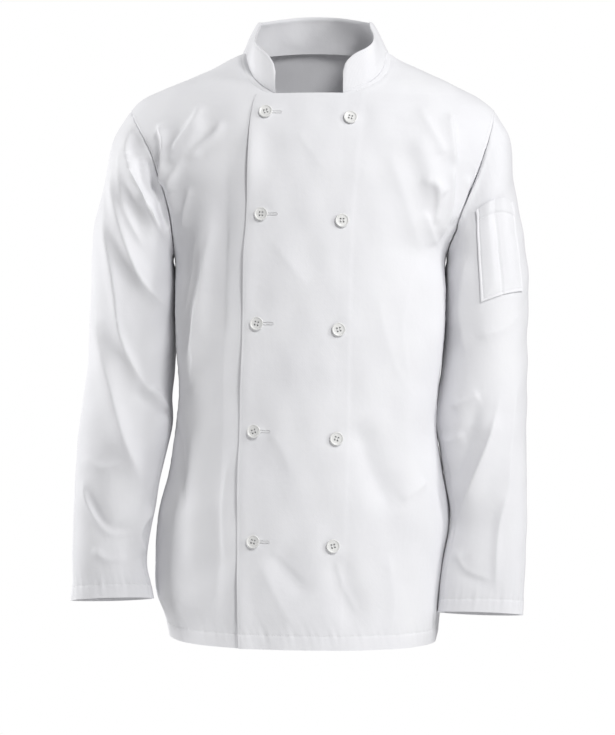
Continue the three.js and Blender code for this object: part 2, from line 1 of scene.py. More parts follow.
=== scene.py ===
"""A worn chef jacket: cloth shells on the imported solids, with creases, seams, stitches and buttons.

Shapes are worked out in millimetres, +Z up, front towards -Y, and made in metres.
"""

import math
from types import SimpleNamespace

import bpy
import numpy as np
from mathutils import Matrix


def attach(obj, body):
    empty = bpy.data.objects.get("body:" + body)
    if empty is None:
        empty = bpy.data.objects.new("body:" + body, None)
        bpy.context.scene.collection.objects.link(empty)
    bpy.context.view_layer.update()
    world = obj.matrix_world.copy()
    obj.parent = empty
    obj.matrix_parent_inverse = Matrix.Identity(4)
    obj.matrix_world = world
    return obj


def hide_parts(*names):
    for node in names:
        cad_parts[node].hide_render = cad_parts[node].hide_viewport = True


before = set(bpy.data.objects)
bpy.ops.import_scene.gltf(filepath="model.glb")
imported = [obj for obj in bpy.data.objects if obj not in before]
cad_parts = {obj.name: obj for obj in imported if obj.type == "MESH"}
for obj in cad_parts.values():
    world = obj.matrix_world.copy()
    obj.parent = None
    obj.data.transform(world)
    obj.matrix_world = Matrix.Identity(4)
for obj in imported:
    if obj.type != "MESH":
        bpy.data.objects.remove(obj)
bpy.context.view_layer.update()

MM = 0.001

# Cloth and seams
WALL = 1.2
LAYER_GAP = 0.4
FLAP_LIFT = WALL + LAYER_GAP
# Turned hems: how high they are sewn, what they add to the wall and the share of it that
# stands out, how much lighter they look, and how their end and their tone fade above the stitches
HEM = SimpleNamespace(depth=18.0, thicker=1.1, proud=0.35, lighter=0.03, fade=2.5, tone_fade=1)

# Heights that the panels share
HEM_Z = -762
HEM_DROP_LEFT = 4
ARMPIT_Z = -262
SHOULDER_POINT_Z = -77
FLAP_TOP_Z = -63
NECK_Z = -2
BACK_NECK_RISE = 13
BACK_NECK_RISE_FROM = -60

# Armhole: an upright superellipse seen from the side
ARMHOLE = {"front": 64, "back": 72, "power": 2.2}
ARMHOLE_GAP = 0.5
ARMHOLE_FADE = 40

# How far from a panel's side its large folds and its creases reach their full height, as shares
EDGE_FADE = 0.25
CREASE_FADE = 0.05
CREASE_DEPTH = {"body": 1.7, "sleeve": 2.0}
SIDE_SIGN = {"right": -1, "left": 1}


def table(names, rows):
    """The columns of a table by name, in the order of its first column."""
    values = np.array(sorted(rows), float)
    return {name: values[:, i] for i, name in enumerate(names.split())}


# Body sections: how far a row reaches to the wearer's right and left, the centre front, the
# seams and the centre back from front to back, and how square it is. The armholes cut its sides.
BODY = table(
    "z right left front side back power",
    [
        (0, -88, 96, -20, 5, 79, 2),
        (-10, -107, 113, -31, 5, 90, 2),
        (-21, -129, 136, -45, 5, 97, 2),
        (-32, -153, 160, -58, 5, 103, 2),
        (-43, -179, 183, -70, 5, 108, 2),
        (-53, -203, 201, -78, 5, 111, 2),
        (-63, -221, 217, -84, 5, 114, 2),
        (-77, -236, 236, -91, 5, 118, 2),
        (-95, -249, 253, -98, 5, 121, 2),
        (-118, -251, 260, -105, 5, 124, 2),
        (-140, -243, 255, -109, 5, 126, 2.05),
        (-164, -232, 243, -113, 5, 127, 2.1),
        (-192, -217, 226, -116, 5, 128, 2.1),
        (-229, -196, 200, -119, 5, 127, 2.15),
        (-262, -181, 175, -121, 4, 126, 2.2),
        (-309, -178.5, 171.5, -123, -4, 120, 2.3),
        (-374, -178, 169.5, -124, -8, 112, 2.3),
        (-439, -174, 163, -124, -2, 109, 2.3),
        (-491, -179, 161, -126, 8, 113, 2.3),
        (-543, -187, 170, -128, 20, 121, 2.3),
        (-602, -202, 180, -131, 28, 130, 2.3),
        (-660, -206, 174, -134, 36, 135, 2.3),
        (-708, -205, 169, -136, 38, 138, 2.3),
        (-740, -192, 165, -137, 34, 139, 2.3),
        (-770, -186, 159, -138, 30, 139, 2.3),
    ],
)

# Lines drawn on the fronts: the flap's edge and the hidden edge of the front under it
FRONT_EDGES = table(
    "z flap under",
    [
        (-60, -71, 61),
        (-75, -76, 60),
        (-111, -80, 57),
        (-213, -83.5, 48),
        (-278, -86.5, 45),
        (-400, -89, 43),
        (-493, -92, 42),
        (-604, -94, 38),
        (-683, -94, 35),
        (-770, -91, 33),
    ],
)

# Neckline of the fronts, from the neck ends of the shoulder seams to the ends of the collar
NECKLINE = table(
    "z right left",
    [
        (0, -87, 95),
        (-16, -84.5, 93),
        (-30, -80, 88),
        (-42, -74, 79),
        (-51, -65, 67),
        (-58, -55, 52),
        (-63, -48, 38),
    ],
)

# Collar: its heights, how many degrees it leans in and where along it that changes, how it sits
# on the neckline, how far apart its plies are, and its edge and stitches
COLLAR = SimpleNamespace(
    height=45,
    end_height=27,
    end_run=26,
    end_lean=-1,
    side_lean=26,
    back_lean=20,
    side_shares=(0.11, 0.44),
    back_shares=(0.6, 1),
    seat=0.8,
    scene_seat=0.2,
    facing=3.0,
    plies=2 * WALL + LAYER_GAP - 0.2,
    bulge=1.2,
    roll=0.9,
    roll_width=1.3,
    stitch=4.0,
    foot_row=2.0,
)

# Sleeves: distance down the outer line, that line, the inner line, and the section's depths
SLEEVE_COLUMNS = "down outer_x outer_z inner_x inner_z middle front back tip power"
SLEEVES = {
    "right": table(
        SLEEVE_COLUMNS,
        [
            (0, -236, -77, -181, -262, 5, 64, 72, 0, 2.2),
            (40, -258, -113, -180.5, -277, 8, 71, 68, 0, 2.2),
            (96, -270, -169, -179, -296, 14, 77, 60, 0, 2.2),
            (148, -284, -220, -178.2, -318, 21, 81, 51, 0, 2.2),
            (190, -288, -262, -177.9, -342, 26, 84, 45, 0, 2.2),
            (248, -290, -320, -177.8, -374, 27, 81, 43, 0, 2.15),
            (308, -292, -380, -179.5, -410, 23, 74, 45, 2, 2.1),
            (360, -296, -432, -182, -446, 15, 65, 48, 4, 2.1),
            (411, -303, -483, -182, -488, 6, 57, 50, 5, 2.1),
            (458, -307, -530, -193, -532, -3, 49, 50, 5, 2.1),
            (508, -309, -580, -202, -581, -8, 45, 45, 5, 2.1),
            (556, -311, -628, -211, -627, -13, 40, 40, 5, 2.15),
            (596, -311, -668, -214, -665, -17, 36, 36, 5, 2.2),
            (620, -310.5, -692, -208, -690, -19, 33, 33, 5, 2.2),
            (639, -312, -711, -205, -708, -20, 31, 31, 5, 2.2),
        ],
    ),
    "left": table(
        SLEEVE_COLUMNS,
        [
            (0, 236, -77, 175, -262, 5, 64, 72, 0, 2.2),
            (40, 256, -113, 174.5, -276, 8, 71, 68, 0, 2.2),
            (96, 261, -164, 173.3, -296, 14, 77, 60, 0, 2.2),
            (136, 268, -204, 172, -318, 20, 80, 52, 0, 2.2),
            (179, 275.5, -246, 171, -342, 25, 84, 45, 0, 2.2),
            (225, 281, -291, 170.2, -362, 26, 84, 41, 0, 2.15),
            (284, 280, -350, 169.6, -388, 23, 80, 40, 2, 2.1),
            (335, 279, -402, 166.4, -418, 16, 73, 42, 4, 2.1),
            (374, 278, -441, 162, -450, 8, 66, 43, 5, 2.1),
            (415, 277.5, -482, 160, -485, 0, 59, 44, 5, 2.1),
            (440, 277, -507, 166, -508, -4, 55, 44, 5, 2.1),
            (490, 276, -557, 173, -557, -12, 49, 41, 5, 2.1),
            (547, 275, -614, 180, -613, -22, 40, 40, 5, 2.15),
            (599, 273, -666, 167, -668, -26, 36, 35, 5, 2.2),
            (662, 270.5, -729, 161, -725, -29, 31, 31, 5, 2.2),
        ],
    ),
}
SLEEVE_LENGTH = {side: rows["down"][-1] for side, rows in SLEEVES.items()}

# Seams of the two-piece sleeves, as angles round the section: 0 outermost, 90 front, 180 innermost
SLEEVE_SEAMS = table(
    "down rear inner",
    [(0, -62, 168), (200, -45, 165), (360, -14, 163), (500, 16, 162), (670, 24, 160)],
)

# Pen pocket on the left upper sleeve: its corners as seen from the front, how it stands off the
# sleeve, its division as a share of its width, its hem and its edges
POCKET = SimpleNamespace(
    corners=[(214.5, -327), (268, -312), (208.5, -210), (255, -199)],
    seat=0.5,
    puff=2.8,
    division=0.47,
    hem=17.0,
    turning=0.9,
    turned=(1.0, 3.6),
    roll=0.5,
    stitch=3.4,
    grid=(90, 54),
)
# Where the pocket reaches its full puff, and the share of it near its bottom
PUFFED = SimpleNamespace(from_edge=(2.5, 20), from_division=(0, 12), at_bottom=0.45)

# Buttons: their sizes, their places from the top as x and z, and the holes beside the edge column
BUTTON = SimpleNamespace(
    radius=8.5, thick=3.2, rim=1.5, dish=0.9, seat=0.4, hole=1.2, hole_out=2.6
)
BUTTONS = {
    "edge": [(-59.4, -88), (-64.5, -217.6), (-69.8, -355), (-73.3, -490), (-74.2, -627.6)],
    "inner": [(46.9, -95.7), (35.9, -226), (31.6, -362.5), (28.9, -499), (24.5, -632.6)],
}
BUTTONHOLE = SimpleNamespace(start=5.0, length=14.2, width=2.8, slit=1.5, slit_lift=0.3)


def mix(a, b, share):
    """The value a share of the way from a to b."""
    return a + (b - a) * share


def smooth(value, low, high):
    """0 below low, 1 above high, and a smooth step between."""
    t = np.clip((value - low) / (high - low), 0.0, 1.0)
    return t * t * (3.0 - 2.0 * t)


def read(columns, at):
    """Every column of a table at values of its first one, on smooth curves."""
    key, *names = columns
    knots = columns[key]
    last = len(knots) - 1
    at = np.clip(np.asarray(at, float), knots[0], knots[-1])
    i = np.clip(np.searchsorted(knots, at, side="left") - 1, 0, last - 1)
    before = np.maximum(np.arange(last + 1) - 1, 0)
    after = np.minimum(np.arange(last + 1) + 1, last)
    step = knots[i + 1] - knots[i]
    t = (at - knots[i]) / step
    made = SimpleNamespace()
    for name in names:
        value = columns[name]
        slope = (value[after] - value[before]) / (knots[after] - knots[before])
        bend = slope[i] * t * (1 - t) ** 2 - slope[i + 1] * t * t * (1 - t)
        setattr(made, name, mix(value[i], value[i + 1], t * t * (3 - 2 * t)) + step * bend)
    return made


def roundness(across, power):
    """Depth of a unit superellipse at a distance from its middle."""
    return np.maximum(0.0, 1.0 - np.abs(across) ** power) ** (1.0 / power)


def unit(vectors):
    """Vectors of length one."""
    return vectors / np.maximum(np.linalg.norm(vectors, axis=-1, keepdims=True), 1e-9)


def stack(x, y, z):
    """Points from arrays of their three values."""
    return np.stack(np.broadcast_arrays(x, y, z), axis=-1)


# Folds and creases: their height out of the cloth, which is negative for a trough, their half
# widths to the left and right of the walk along their points, and those points as x and z


def fold(height, width, *points):
    """A broad fold, the same on both sides of its line."""
    return crease(height, width, width, *points, power=2.0, ends=0.28)


def crease(height, left, right, *points, power=1.35, ends=0.22):
    """A crease along a smooth line through its points, as seen from the front or the back."""
    points = np.array(points, float)
    knots = np.arange(len(points))
    line = read({"t": knots, "x": points[:, 0], "z": points[:, 1]}, np.linspace(0, knots[-1], 17))
    return SimpleNamespace(
        height=height, left=left, right=right, power=power, ends=ends, line=stack(line.x, 0, line.z)
    )


FOLDS = {
    "front": [
        fold(6, 13, (-130, -190), (-144, -310), (-160, -450)),
        fold(-5, 12, (-150, -250), (-158, -340), (-166, -400)),
        fold(4.5, 11, (-140, -88), (-158, -125), (-182, -160)),
        fold(5, 11, (-176, -150), (-186, -180), (-178, -230)),
        fold(5, 16, (-152, -480), (-150, -580), (-158, -690)),
        fold(-6, 22, (52, -470), (74, -535), (104, -600)),
        fold(-5, 20, (24, -640), (38, -690), (62, -750)),
        fold(-4, 16, (-54, -630), (-30, -665), (-2, -700)),
        fold(5, 15, (128, -110), (146, -160), (158, -215)),
        fold(5, 20, (132, -420), (122, -520), (130, -640)),
    ],
    "back": [
        fold(6, 18, (-150, -170), (-120, -300), (-128, -440)),
        fold(6, 19, (156, -160), (118, -290), (112, -430)),
        fold(-3, 26, (-70, -370), (-16, -416), (48, -424)),
        fold(7, 22, (-95, -480), (-110, -600), (-100, -740)),
        fold(7, 24, (70, -500), (92, -620), (84, -750)),
        fold(6, 14, (-180, -590), (-192, -670), (-184, -755)),
    ],
    "right sleeve front": [
        fold(6, 11, (-233, -100), (-228, -170), (-187, -250)),
        fold(5, 12, (-252, -140), (-240, -245), (-184, -338)),
        fold(4, 13, (-266, -180), (-255, -290), (-232, -392)),
        fold(-4, 10, (-232, -436), (-208, -456), (-186, -480)),
        fold(6, 16, (-276, -330), (-258, -430), (-236, -512), (-204, -584)),
        fold(-5, 12, (-296, -560), (-268, -616), (-222, -622)),
    ],
    "right sleeve back": [
        fold(-6, 13, (-262, -390), (-230, -420), (-190, -430)),
        fold(5, 14, (-280, -190), (-248, -270), (-200, -330)),
        fold(5, 14, (-300, -470), (-262, -520), (-214, -580)),
    ],
    "left sleeve front": [
        fold(6, 15, (232, -462), (216, -524), (182, -618)),
        fold(-4, 11, (214, -440), (196, -510), (176, -570)),
        fold(-3, 11, (182, -644), (198, -672), (234, -684)),
        fold(5, 11, (206, -120), (196, -190), (184, -260)),
    ],
    "left sleeve back": [
        fold(-6, 13, (262, -390), (226, -425), (180, -430)),
        fold(5, 14, (266, -180), (240, -260), (194, -320)),
        fold(5, 14, (272, -480), (236, -540), (190, -590)),
    ],
}

CREASES = {
    "front": [
        # Armhole on the wearer's right: the fold that hides its seam, and those that run to it
        crease(5.0, 9, 3.0, (-199, -98), (-190, -120), (-191, -160), (-191, -181)),
        crease(2.6, 8, 4, (-141, -73), (-151, -95), (-168, -119), (-180, -139)),
        crease(2.2, 7, 4, (-114, -95), (-124, -115), (-143, -131), (-160, -150)),
        crease(2.0, 6, 4, (-166, -145), (-180, -174), (-183, -186)),
        crease(1.8, 6, 4, (-155, -178), (-163, -208), (-168, -240)),
        crease(3.0, 9, 4, (-127, -217), (-139, -300), (-151, -372), (-148, -400), (-158, -440)),
        crease(2.0, 7, 4, (-146, -236), (-156, -300), (-166, -352)),
        crease(1.4, 6, 5, (-108, -520), (-116, -590), (-112, -660)),
        crease(-1.6, 7, 7, (-178, -470), (-166, -520), (-164, -600)),
        # Under the flap's edge the right front falls away from it
        crease(-4.0, 15, 22, (-106, -120), (-112, -260), (-116, -420), (-120, -600), (-122, -764)),
        # Flap: shallow drags from its buttons
        crease(0.5, 10, 7, (-22, -110), (-5, -135), (14, -162)),
        crease(0.6, 11, 7, (-52, -250), (-30, -280), (-6, -310)),
        crease(0.6, 9, 6, (-56, -490), (-42, -508), (-26, -545)),
        crease(0.8, 9, 6, (-56, -634), (-30, -655), (-2, -684)),
        crease(0.7, 9, 6, (-68, -648), (-46, -697), (-22, -740)),
        crease(0.8, 5, 4, (27, -645), (37, -680), (60, -724)),
        crease(-0.9, 14, 10, (52, -470), (72, -534), (103, -596)),
        # Left front: round to the armhole and the waist
        crease(1.5, 9, 6, (108, -578), (128, -566), (145, -553)),
        crease(1.8, 4, 10, (138, -210), (150, -236), (158, -256)),
        crease(2.0, 6, 10, (132, -76), (156, -120), (165, -143)),
        crease(2.6, 3, 9, (174, -84), (177, -115), (181, -158)),
        crease(3.4, 2.5, 9, (178, -150), (174, -205), (161, -250)),
        crease(2.6, 2.5, 8, (202, -164), (191, -195), (175, -232)),
        crease(2.2, 8, 3, (150, -168), (156, -200), (152, -232)),
        crease(1.8, 7, 6, (134, -172), (155, -181), (166, -192)),
        crease(0.9, 11, 9, (92, -130), (120, -210), (136, -270)),
        crease(0.8, 11, 10, (126, -280), (112, -360), (124, -440)),
        crease(0.7, 11, 8, (78, -310), (100, -400), (132, -456)),
        crease(1.4, 8, 8, (92, -640), (100, -690), (96, -752)),
    ],
    "back": [
        crease(2.0, 6, 9, (-196, -130), (-174, -184), (-170, -240)),
        crease(1.4, 8, 5, (-150, -96), (-168, -128), (-190, -156)),
        crease(1.8, 8, 5, (192, -120), (172, -176), (164, -236)),
        crease(1.3, 6, 8, (134, -90), (158, -116), (188, -140)),
        crease(1.3, 8, 13, (-128, -214), (-104, -300), (-110, -384)),
        crease(1.4, 14, 8, (98, -200), (110, -306), (96, -396)),
        crease(1.1, 14, 8, (-152, -392), (-104, -424), (-52, -430)),
        crease(1.2, 8, 14, (36, -446), (84, -434), (140, -398)),
        crease(0.8, 14, 9, (-40, -462), (4, -474), (48, -466)),
        crease(1.3, 12, 9, (-70, -520), (-78, -630), (-68, -750)),
        crease(1.0, 14, 9, (12, -560), (26, -650), (18, -752)),
        crease(1.2, 9, 13, (112, -490), (124, -600), (116, -745)),
        crease(0.9, 12, 8, (-150, -500), (-144, -580), (-150, -660)),
        crease(0.8, 16, 16, (-44, -70), (-34, -150), (-50, -240)),
        crease(0.7, 16, 16, (60, -80), (50, -160), (66, -236)),
    ],
    "right sleeve front": [
        crease(4.0, 3.5, 10, (-232, -96), (-236, -132), (-228, -170), (-208, -208), (-186, -250)),
        crease(2.8, 5, 6, (-226, -136), (-227, -160), (-222, -182), (-213, -198)),
        crease(-3.4, 8, 6, (-214, -135), (-208, -165), (-194, -205), (-182, -240)),
        crease(3.0, 5, 9, (-253, -140), (-250, -190), (-238, -248), (-219, -300), (-182, -342)),
        crease(
            3.2, 5, 9, (-267, -175), (-262, -236), (-252, -300), (-246, -366), (-225, -417),
            (-203, -448), (-182, -472),
        ),
        crease(2.0, 5, 7, (-243, -118), (-244, -160), (-236, -214), (-214, -262)),
        crease(2.0, 4, 6, (-209, -432), (-198, -446), (-184, -470)),
        crease(3.0, 8, 14, (-282, -315), (-270, -380), (-258, -430), (-241, -503), (-212, -576)),
        crease(2.6, 4, 8, (-296, -549), (-287, -591), (-261, -621), (-225, -621)),
        crease(1.3, 6, 7, (-300, -524), (-270, -538), (-236, -532)),
        crease(2.6, 5, 7, (-200, -584), (-223, -621), (-214, -656)),
        crease(1.6, 7, 5, (-284, -640), (-262, -656), (-236, -652)),
    ],
    "right sleeve back": [
        crease(2.8, 5, 8, (-246, -120), (-242, -190), (-212, -250)),
        crease(2.4, 5, 8, (-276, -170), (-262, -250), (-214, -316)),
        crease(3.0, 6, 8, (-286, -372), (-250, -404), (-200, -410)),
        crease(3.0, 8, 6, (-286, -436), (-246, -440), (-196, -460)),
        crease(2.2, 7, 5, (-282, -404), (-246, -426), (-194, -440)),
        crease(2.4, 6, 8, (-298, -500), (-268, -560), (-226, -604)),
        crease(2.0, 6, 6, (-300, -600), (-270, -636), (-232, -640)),
    ],
    "left sleeve front": [
        crease(3.6, 3.5, 9, (226, -98), (220, -130), (208, -170), (192, -214), (182, -240)),
        crease(2.4, 4, 8, (214, -100), (209, -140), (196, -178), (186, -200)),
        crease(3.0, 9, 4, (242, -430), (224, -500), (202, -563), (181, -620), ends=0.45),
        crease(1.5, 7, 6, (214, -444), (198, -452), (176, -462)),
        crease(1.4, 6, 7, (158, -496), (172, -503), (196, -496)),
        crease(1.8, 8, 6, (180, -642), (196, -668), (232, -682)),
        crease(2.0, 8, 8, (196, -262), (190, -330), (196, -400)),
        crease(1.8, 8, 8, (262, -420), (254, -500), (248, -580)),
        crease(1.6, 8, 6, (250, -560), (236, -620), (232, -700)),
        crease(0.9, 8, 8, (270, -336), (246, -360), (206, -372)),
    ],
    "left sleeve back": [
        crease(2.8, 8, 5, (246, -120), (238, -190), (204, -250)),
        crease(2.4, 8, 5, (268, -170), (252, -250), (206, -312)),
        crease(3.0, 8, 6, (268, -372), (236, -404), (184, -412)),
        crease(3.0, 6, 8, (268, -440), (230, -446), (180, -456)),
        crease(2.2, 5, 7, (266, -404), (230, -424), (180, -436)),
        crease(2.4, 8, 6, (268, -500), (240, -560), (192, -600)),
        crease(2.0, 6, 6, (266, -610), (236, -650), (186, -650)),
    ],
}


def one_relief(fold_line, x, z):
    """Height of one fold or crease at points seen from the front or the back."""
    nearest = np.full(x.shape, np.inf)
    along = np.zeros(x.shape)
    left = np.zeros(x.shape, bool)
    points = fold_line.line[:, [0, 2]]
    for k, (start, run) in enumerate(zip(points[:-1], np.diff(points, axis=0))):
        dx, dz = x - start[0], z - start[1]
        share = np.clip((dx * run[0] + dz * run[1]) / (run @ run), 0, 1)
        distance = np.hypot(dx - share * run[0], dz - share * run[1])
        closer = distance < nearest
        nearest = np.where(closer, distance, nearest)
        along = np.where(closer, k + share, along)
        left = np.where(closer, run[0] * dz - run[1] * dx > 0, left)
    along /= len(points) - 1
    width = np.where(left, fold_line.left, fold_line.right)
    ends = smooth(np.minimum(along, 1 - along), 0, fold_line.ends)
    return fold_line.height * ends * np.exp(-((nearest / width) ** fold_line.power))


# How far a crease is worked out, in half widths
RELIEF_REACH = 3


def relief(lines, x, z):
    """Height of several folds or creases."""
    height = np.zeros(x.shape)
    for line in lines:
        reach = RELIEF_REACH * max(line.left, line.right)
        low = line.line.min(axis=0) - reach
        high = line.line.max(axis=0) + reach
        near = (x > low[0]) & (x < high[0]) & (z > low[2]) & (z < high[2])
        if near.any():
            height[near] += one_relief(line, x[near], z[near])
    return height


# How many waves make cloth uneven, and how far they turn to each axis
WAVES = SimpleNamespace(count=14, spread=np.array([1.0, 0.6, 0.7]))


def unevenness(seed, points, lowest=36, highest=130, height=0.5):
    """Soft waves that no cloth is without: a seeded sum of sines in all directions."""
    random = np.random.default_rng(seed)
    total = np.zeros(points.shape[:-1])
    for _ in range(WAVES.count):
        direction = unit(random.normal(size=3) * WAVES.spread)
        length = random.uniform(lowest, highest)
        phase = random.uniform(0, 2 * math.pi)
        total += np.sin(points @ direction * (2 * math.pi / length) + phase)
    return height * total / math.sqrt(WAVES.count / 2)


def normals_of(form, a, b, steps, limits, outward):
    """Unit normals of a surface of two values, from small steps inside its limits."""
    (a_low, a_high), (b_low, b_high) = limits
    step_a, step_b = steps

    def at(p, q):
        return form(np.clip(p, a_low, a_high), np.clip(q, b_low, b_high))

    across = at(a + step_a, b) - at(a - step_a, b)
    down = at(a, b + step_b) - at(a, b - step_b)
    return outward * unit(np.cross(across, down))


# Body

# Limits and steps of s and of the row, for the body's normals
BODY_LIMITS = ((-0.995, 0.995), (-770, -1))
BODY_STEPS = (0.01, 3)
# Where the hem's drop to the left ends above it, and how far a button holds the cloth flat
HEM_DROP_ENDS = HEM_Z + 170
FLAT_ROUND_BUTTON = 15
FRONT_SIGN = {"front": 1, "back": -1}


def armhole_depth(face, z):
    """How far the armhole reaches to the front or the back at a height."""
    middle = (SHOULDER_POINT_Z + ARMPIT_Z) / 2
    half = (SHOULDER_POINT_Z - ARMPIT_Z) / 2
    return ARMHOLE[face] * roundness(np.clip((z - middle) / half, -1, 1), ARMHOLE["power"])


def body_section(face, row):
    """A row of the body on one face, with the share of its half width that the armhole leaves."""
    section = read(BODY, row)
    depth = section.side - section.front if face == "front" else section.back - section.side
    section.reach = roundness(armhole_depth(face, row) / depth, section.power)
    section.depth = -depth if face == "front" else depth
    return section


def armhole_x(face, side, z):
    """Where the body ends at the armhole."""
    section = body_section(face, z)
    return mix(section.right, section.left, (1 + SIDE_SIGN[side] * section.reach) / 2)


def body_form(face, s, row):
    """Points of the bare body: s runs from -1 at the right seam to 1 at the left seam."""
    section = body_section(face, row)
    across = section.reach * np.sin(s * math.pi / 2)
    y = section.side + section.depth * roundness(across, section.power)
    z = row - HEM_DROP_LEFT * s * (1 - smooth(row, HEM_Z, HEM_DROP_ENDS))
    if face == "back":
        rise = BACK_NECK_RISE * smooth(row, BACK_NECK_RISE_FROM, NECK_Z)
        z = z + rise * (1 - across**2)
    return stack(mix(section.right, section.left, (across + 1) / 2), y, z)


def near_buttons(x, z):
    """1 away from the buttons and 0 at them, where the cloth is held flat."""
    free = np.ones(x.shape)
    for places in BUTTONS.values():
        for button_x, button_z in places:
            away = np.hypot(x - button_x, z - button_z)
            free *= 1 - np.exp(-((away / FLAT_ROUND_BUTTON) ** 4))
    return free


def body_surface(face, s, row):
    """Points and normals of the worn body with its folds and creases."""

    def form(a, b):
        return body_form(face, a, b)

    s, row = np.broadcast_arrays(np.asarray(s, float), np.asarray(row, float))
    points = form(s, row)
    normals = normals_of(form, s, row, BODY_STEPS, BODY_LIMITS, FRONT_SIGN[face])
    from_side = 1 - np.abs(s)
    x, z = points[..., 0], points[..., 2]
    height = smooth(from_side, 0, EDGE_FADE) * relief(FOLDS[face], x, z)
    fine = CREASE_DEPTH["body"] * relief(CREASES[face], x, z) + unevenness(11, points)
    if face == "front":
        fine = fine * near_buttons(x, z)
    height = height + smooth(from_side, 0, CREASE_FADE) * fine
    return points + normals * height[..., None], normals


def front_share(x, row):
    """Where lines at x cross rows of the front, as s."""
    section = body_section("front", row)
    across = (2 * x - section.right - section.left) / (section.left - section.right)
    across = np.clip(across, -section.reach, section.reach)
    return np.arcsin(across / section.reach) * 2 / math.pi


def drawn_lines(row):
    """The lines of both tables in a row, as s."""
    edges = read(FRONT_EDGES, np.minimum(row, FLAP_TOP_Z))
    neck = read(NECKLINE, np.maximum(row, FLAP_TOP_Z))
    return SimpleNamespace(
        flap=front_share(edges.flap, row),
        collar_right=front_share(neck.right, row),
        collar_left=front_share(neck.left, row),
        under=front_share(edges.under, row),
    )


def front_lines(row):
    """The lines that both fronts share in a row, from the right seam to the left seam."""
    row = np.asarray(row, float)
    lines = drawn_lines(row)
    base = drawn_lines(FLAP_TOP_Z)
    above = row > FLAP_TOP_Z
    width = base.under - base.flap
    right_share = (base.collar_right - base.flap) / width
    left_share = (base.collar_left - base.flap) / width
    lower_right = mix(lines.flap, lines.under, right_share)
    lower_left = mix(lines.flap, lines.under, left_share)
    lines.collar_right = np.where(above, lines.collar_right, lower_right)
    lines.collar_left = np.where(above, lines.collar_left, lower_left)
    outer_share = (base.flap + 1) / (base.collar_right + 1)
    inner_share = (base.under - base.collar_left) / (1 - base.collar_left)
    lines.flap = np.where(above, mix(-1, lines.collar_right, outer_share), lines.flap)
    lines.under = np.where(above, mix(lines.collar_left, 1, inner_share), lines.under)
    return lines


# How the flap stands off at its edge: little at a button, more between two, none at its top
GAPE = SimpleNamespace(least=1.6, more=2.6, width=15, from_button=(8, 60), from_top=(4, 47))
# Shares of the flap's lift that it loses past the edge of the front under it, and how far past
SETTLE = [(0.3, 0.02), (0.7, 0.35)]


def flap_lift(s, row, x, z):
    """How far the flap stands off the front under it: most between its buttons, at its edge."""
    lines = front_lines(row)
    settle = sum(share * smooth(s, lines.under, lines.under + past) for share, past in SETTLE)
    edge = read(FRONT_EDGES, np.minimum(z, FLAP_TOP_Z)).flap
    button_z = np.array([place[1] for place in BUTTONS["edge"]][::-1], float)
    nearest = np.abs(z[..., None] - button_z).min(axis=-1)
    gape = GAPE.least + GAPE.more * smooth(nearest, *GAPE.from_button)
    stand = gape * np.exp(-(((x - edge) / GAPE.width) ** 2))
    stand = stand * smooth(FLAP_TOP_Z - z, *GAPE.from_top)
    return FLAP_LIFT * (1 - settle) + stand


# Grids of cloth

PIECES = {}


def linked(name, data):
    """A new object in the scene."""
    made = bpy.data.objects.new(name, data)
    bpy.context.scene.collection.objects.link(made)
    return made


def cumulative(points, axis):
    """Distance along the rows or the columns of a grid of points."""
    steps = np.linalg.norm(np.diff(points, axis=axis), axis=-1)
    total = np.cumsum(steps, axis=axis)
    pad = [(0, 0), (0, 0)]
    pad[axis] = (1, 0)
    return np.pad(total, pad)


def make_mesh(name, vertices, faces, material, uv=None, tone=None, sharp=50):
    """A mesh object from points in millimetres."""
    mesh = bpy.data.meshes.new(name)
    mesh.from_pydata((np.asarray(vertices) * MM).tolist(), [], [list(map(int, f)) for f in faces])
    mesh.update()
    if uv is not None:
        corners = np.empty(len(mesh.loops), int)
        mesh.loops.foreach_get("vertex_index", corners)
        layer = mesh.uv_layers.new(name="cloth")
        layer.data.foreach_set("uv", (uv[corners] * MM).astype(np.float32).ravel())
    if tone is not None:
        attribute = mesh.color_attributes.new("tone", "FLOAT_COLOR", "POINT")
        colors = np.ones((len(vertices), 4), np.float32)
        colors[:, :3] = tone[:, None]
        attribute.data.foreach_set("color", colors.ravel())
    mesh.materials.append(material)
    mesh.shade_smooth()
    if sharp:
        mesh.set_sharp_from_angle(angle=math.radians(sharp))
    made = linked(name, mesh)
    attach(made, "root")
    return made


def shell(outer, inner, keep=None):
    """Vertices and faces of a thin closed solid from two grids, and the grid index of each."""
    high, wide = outer.shape[:2]
    index = np.arange(high * wide).reshape(high, wide)
    quads = np.stack([index[:-1, :-1], index[:-1, 1:], index[1:, 1:], index[1:, :-1]], axis=-1)
    quads = quads[keep] if keep is not None else quads.reshape(-1, 4)
    behind = high * wide
    edges = np.concatenate([quads[:, [k, (k + 1) % 4]] for k in range(4)])
    codes = edges[:, 0] * behind + edges[:, 1]
    backwards = edges[:, 1] * behind + edges[:, 0]
    rim = edges[~np.isin(backwards, codes)]
    p, q = rim[:, 0], rim[:, 1]
    rims = np.stack([q, p, p + behind, q + behind], axis=-1)
    faces = np.concatenate([quads, quads[:, ::-1] + behind, rims])
    used, faces = np.unique(faces, return_inverse=True)
    vertices = np.concatenate([outer.reshape(-1, 3), inner.reshape(-1, 3)])[used]
    return vertices, faces.reshape(-1, 4), used % behind


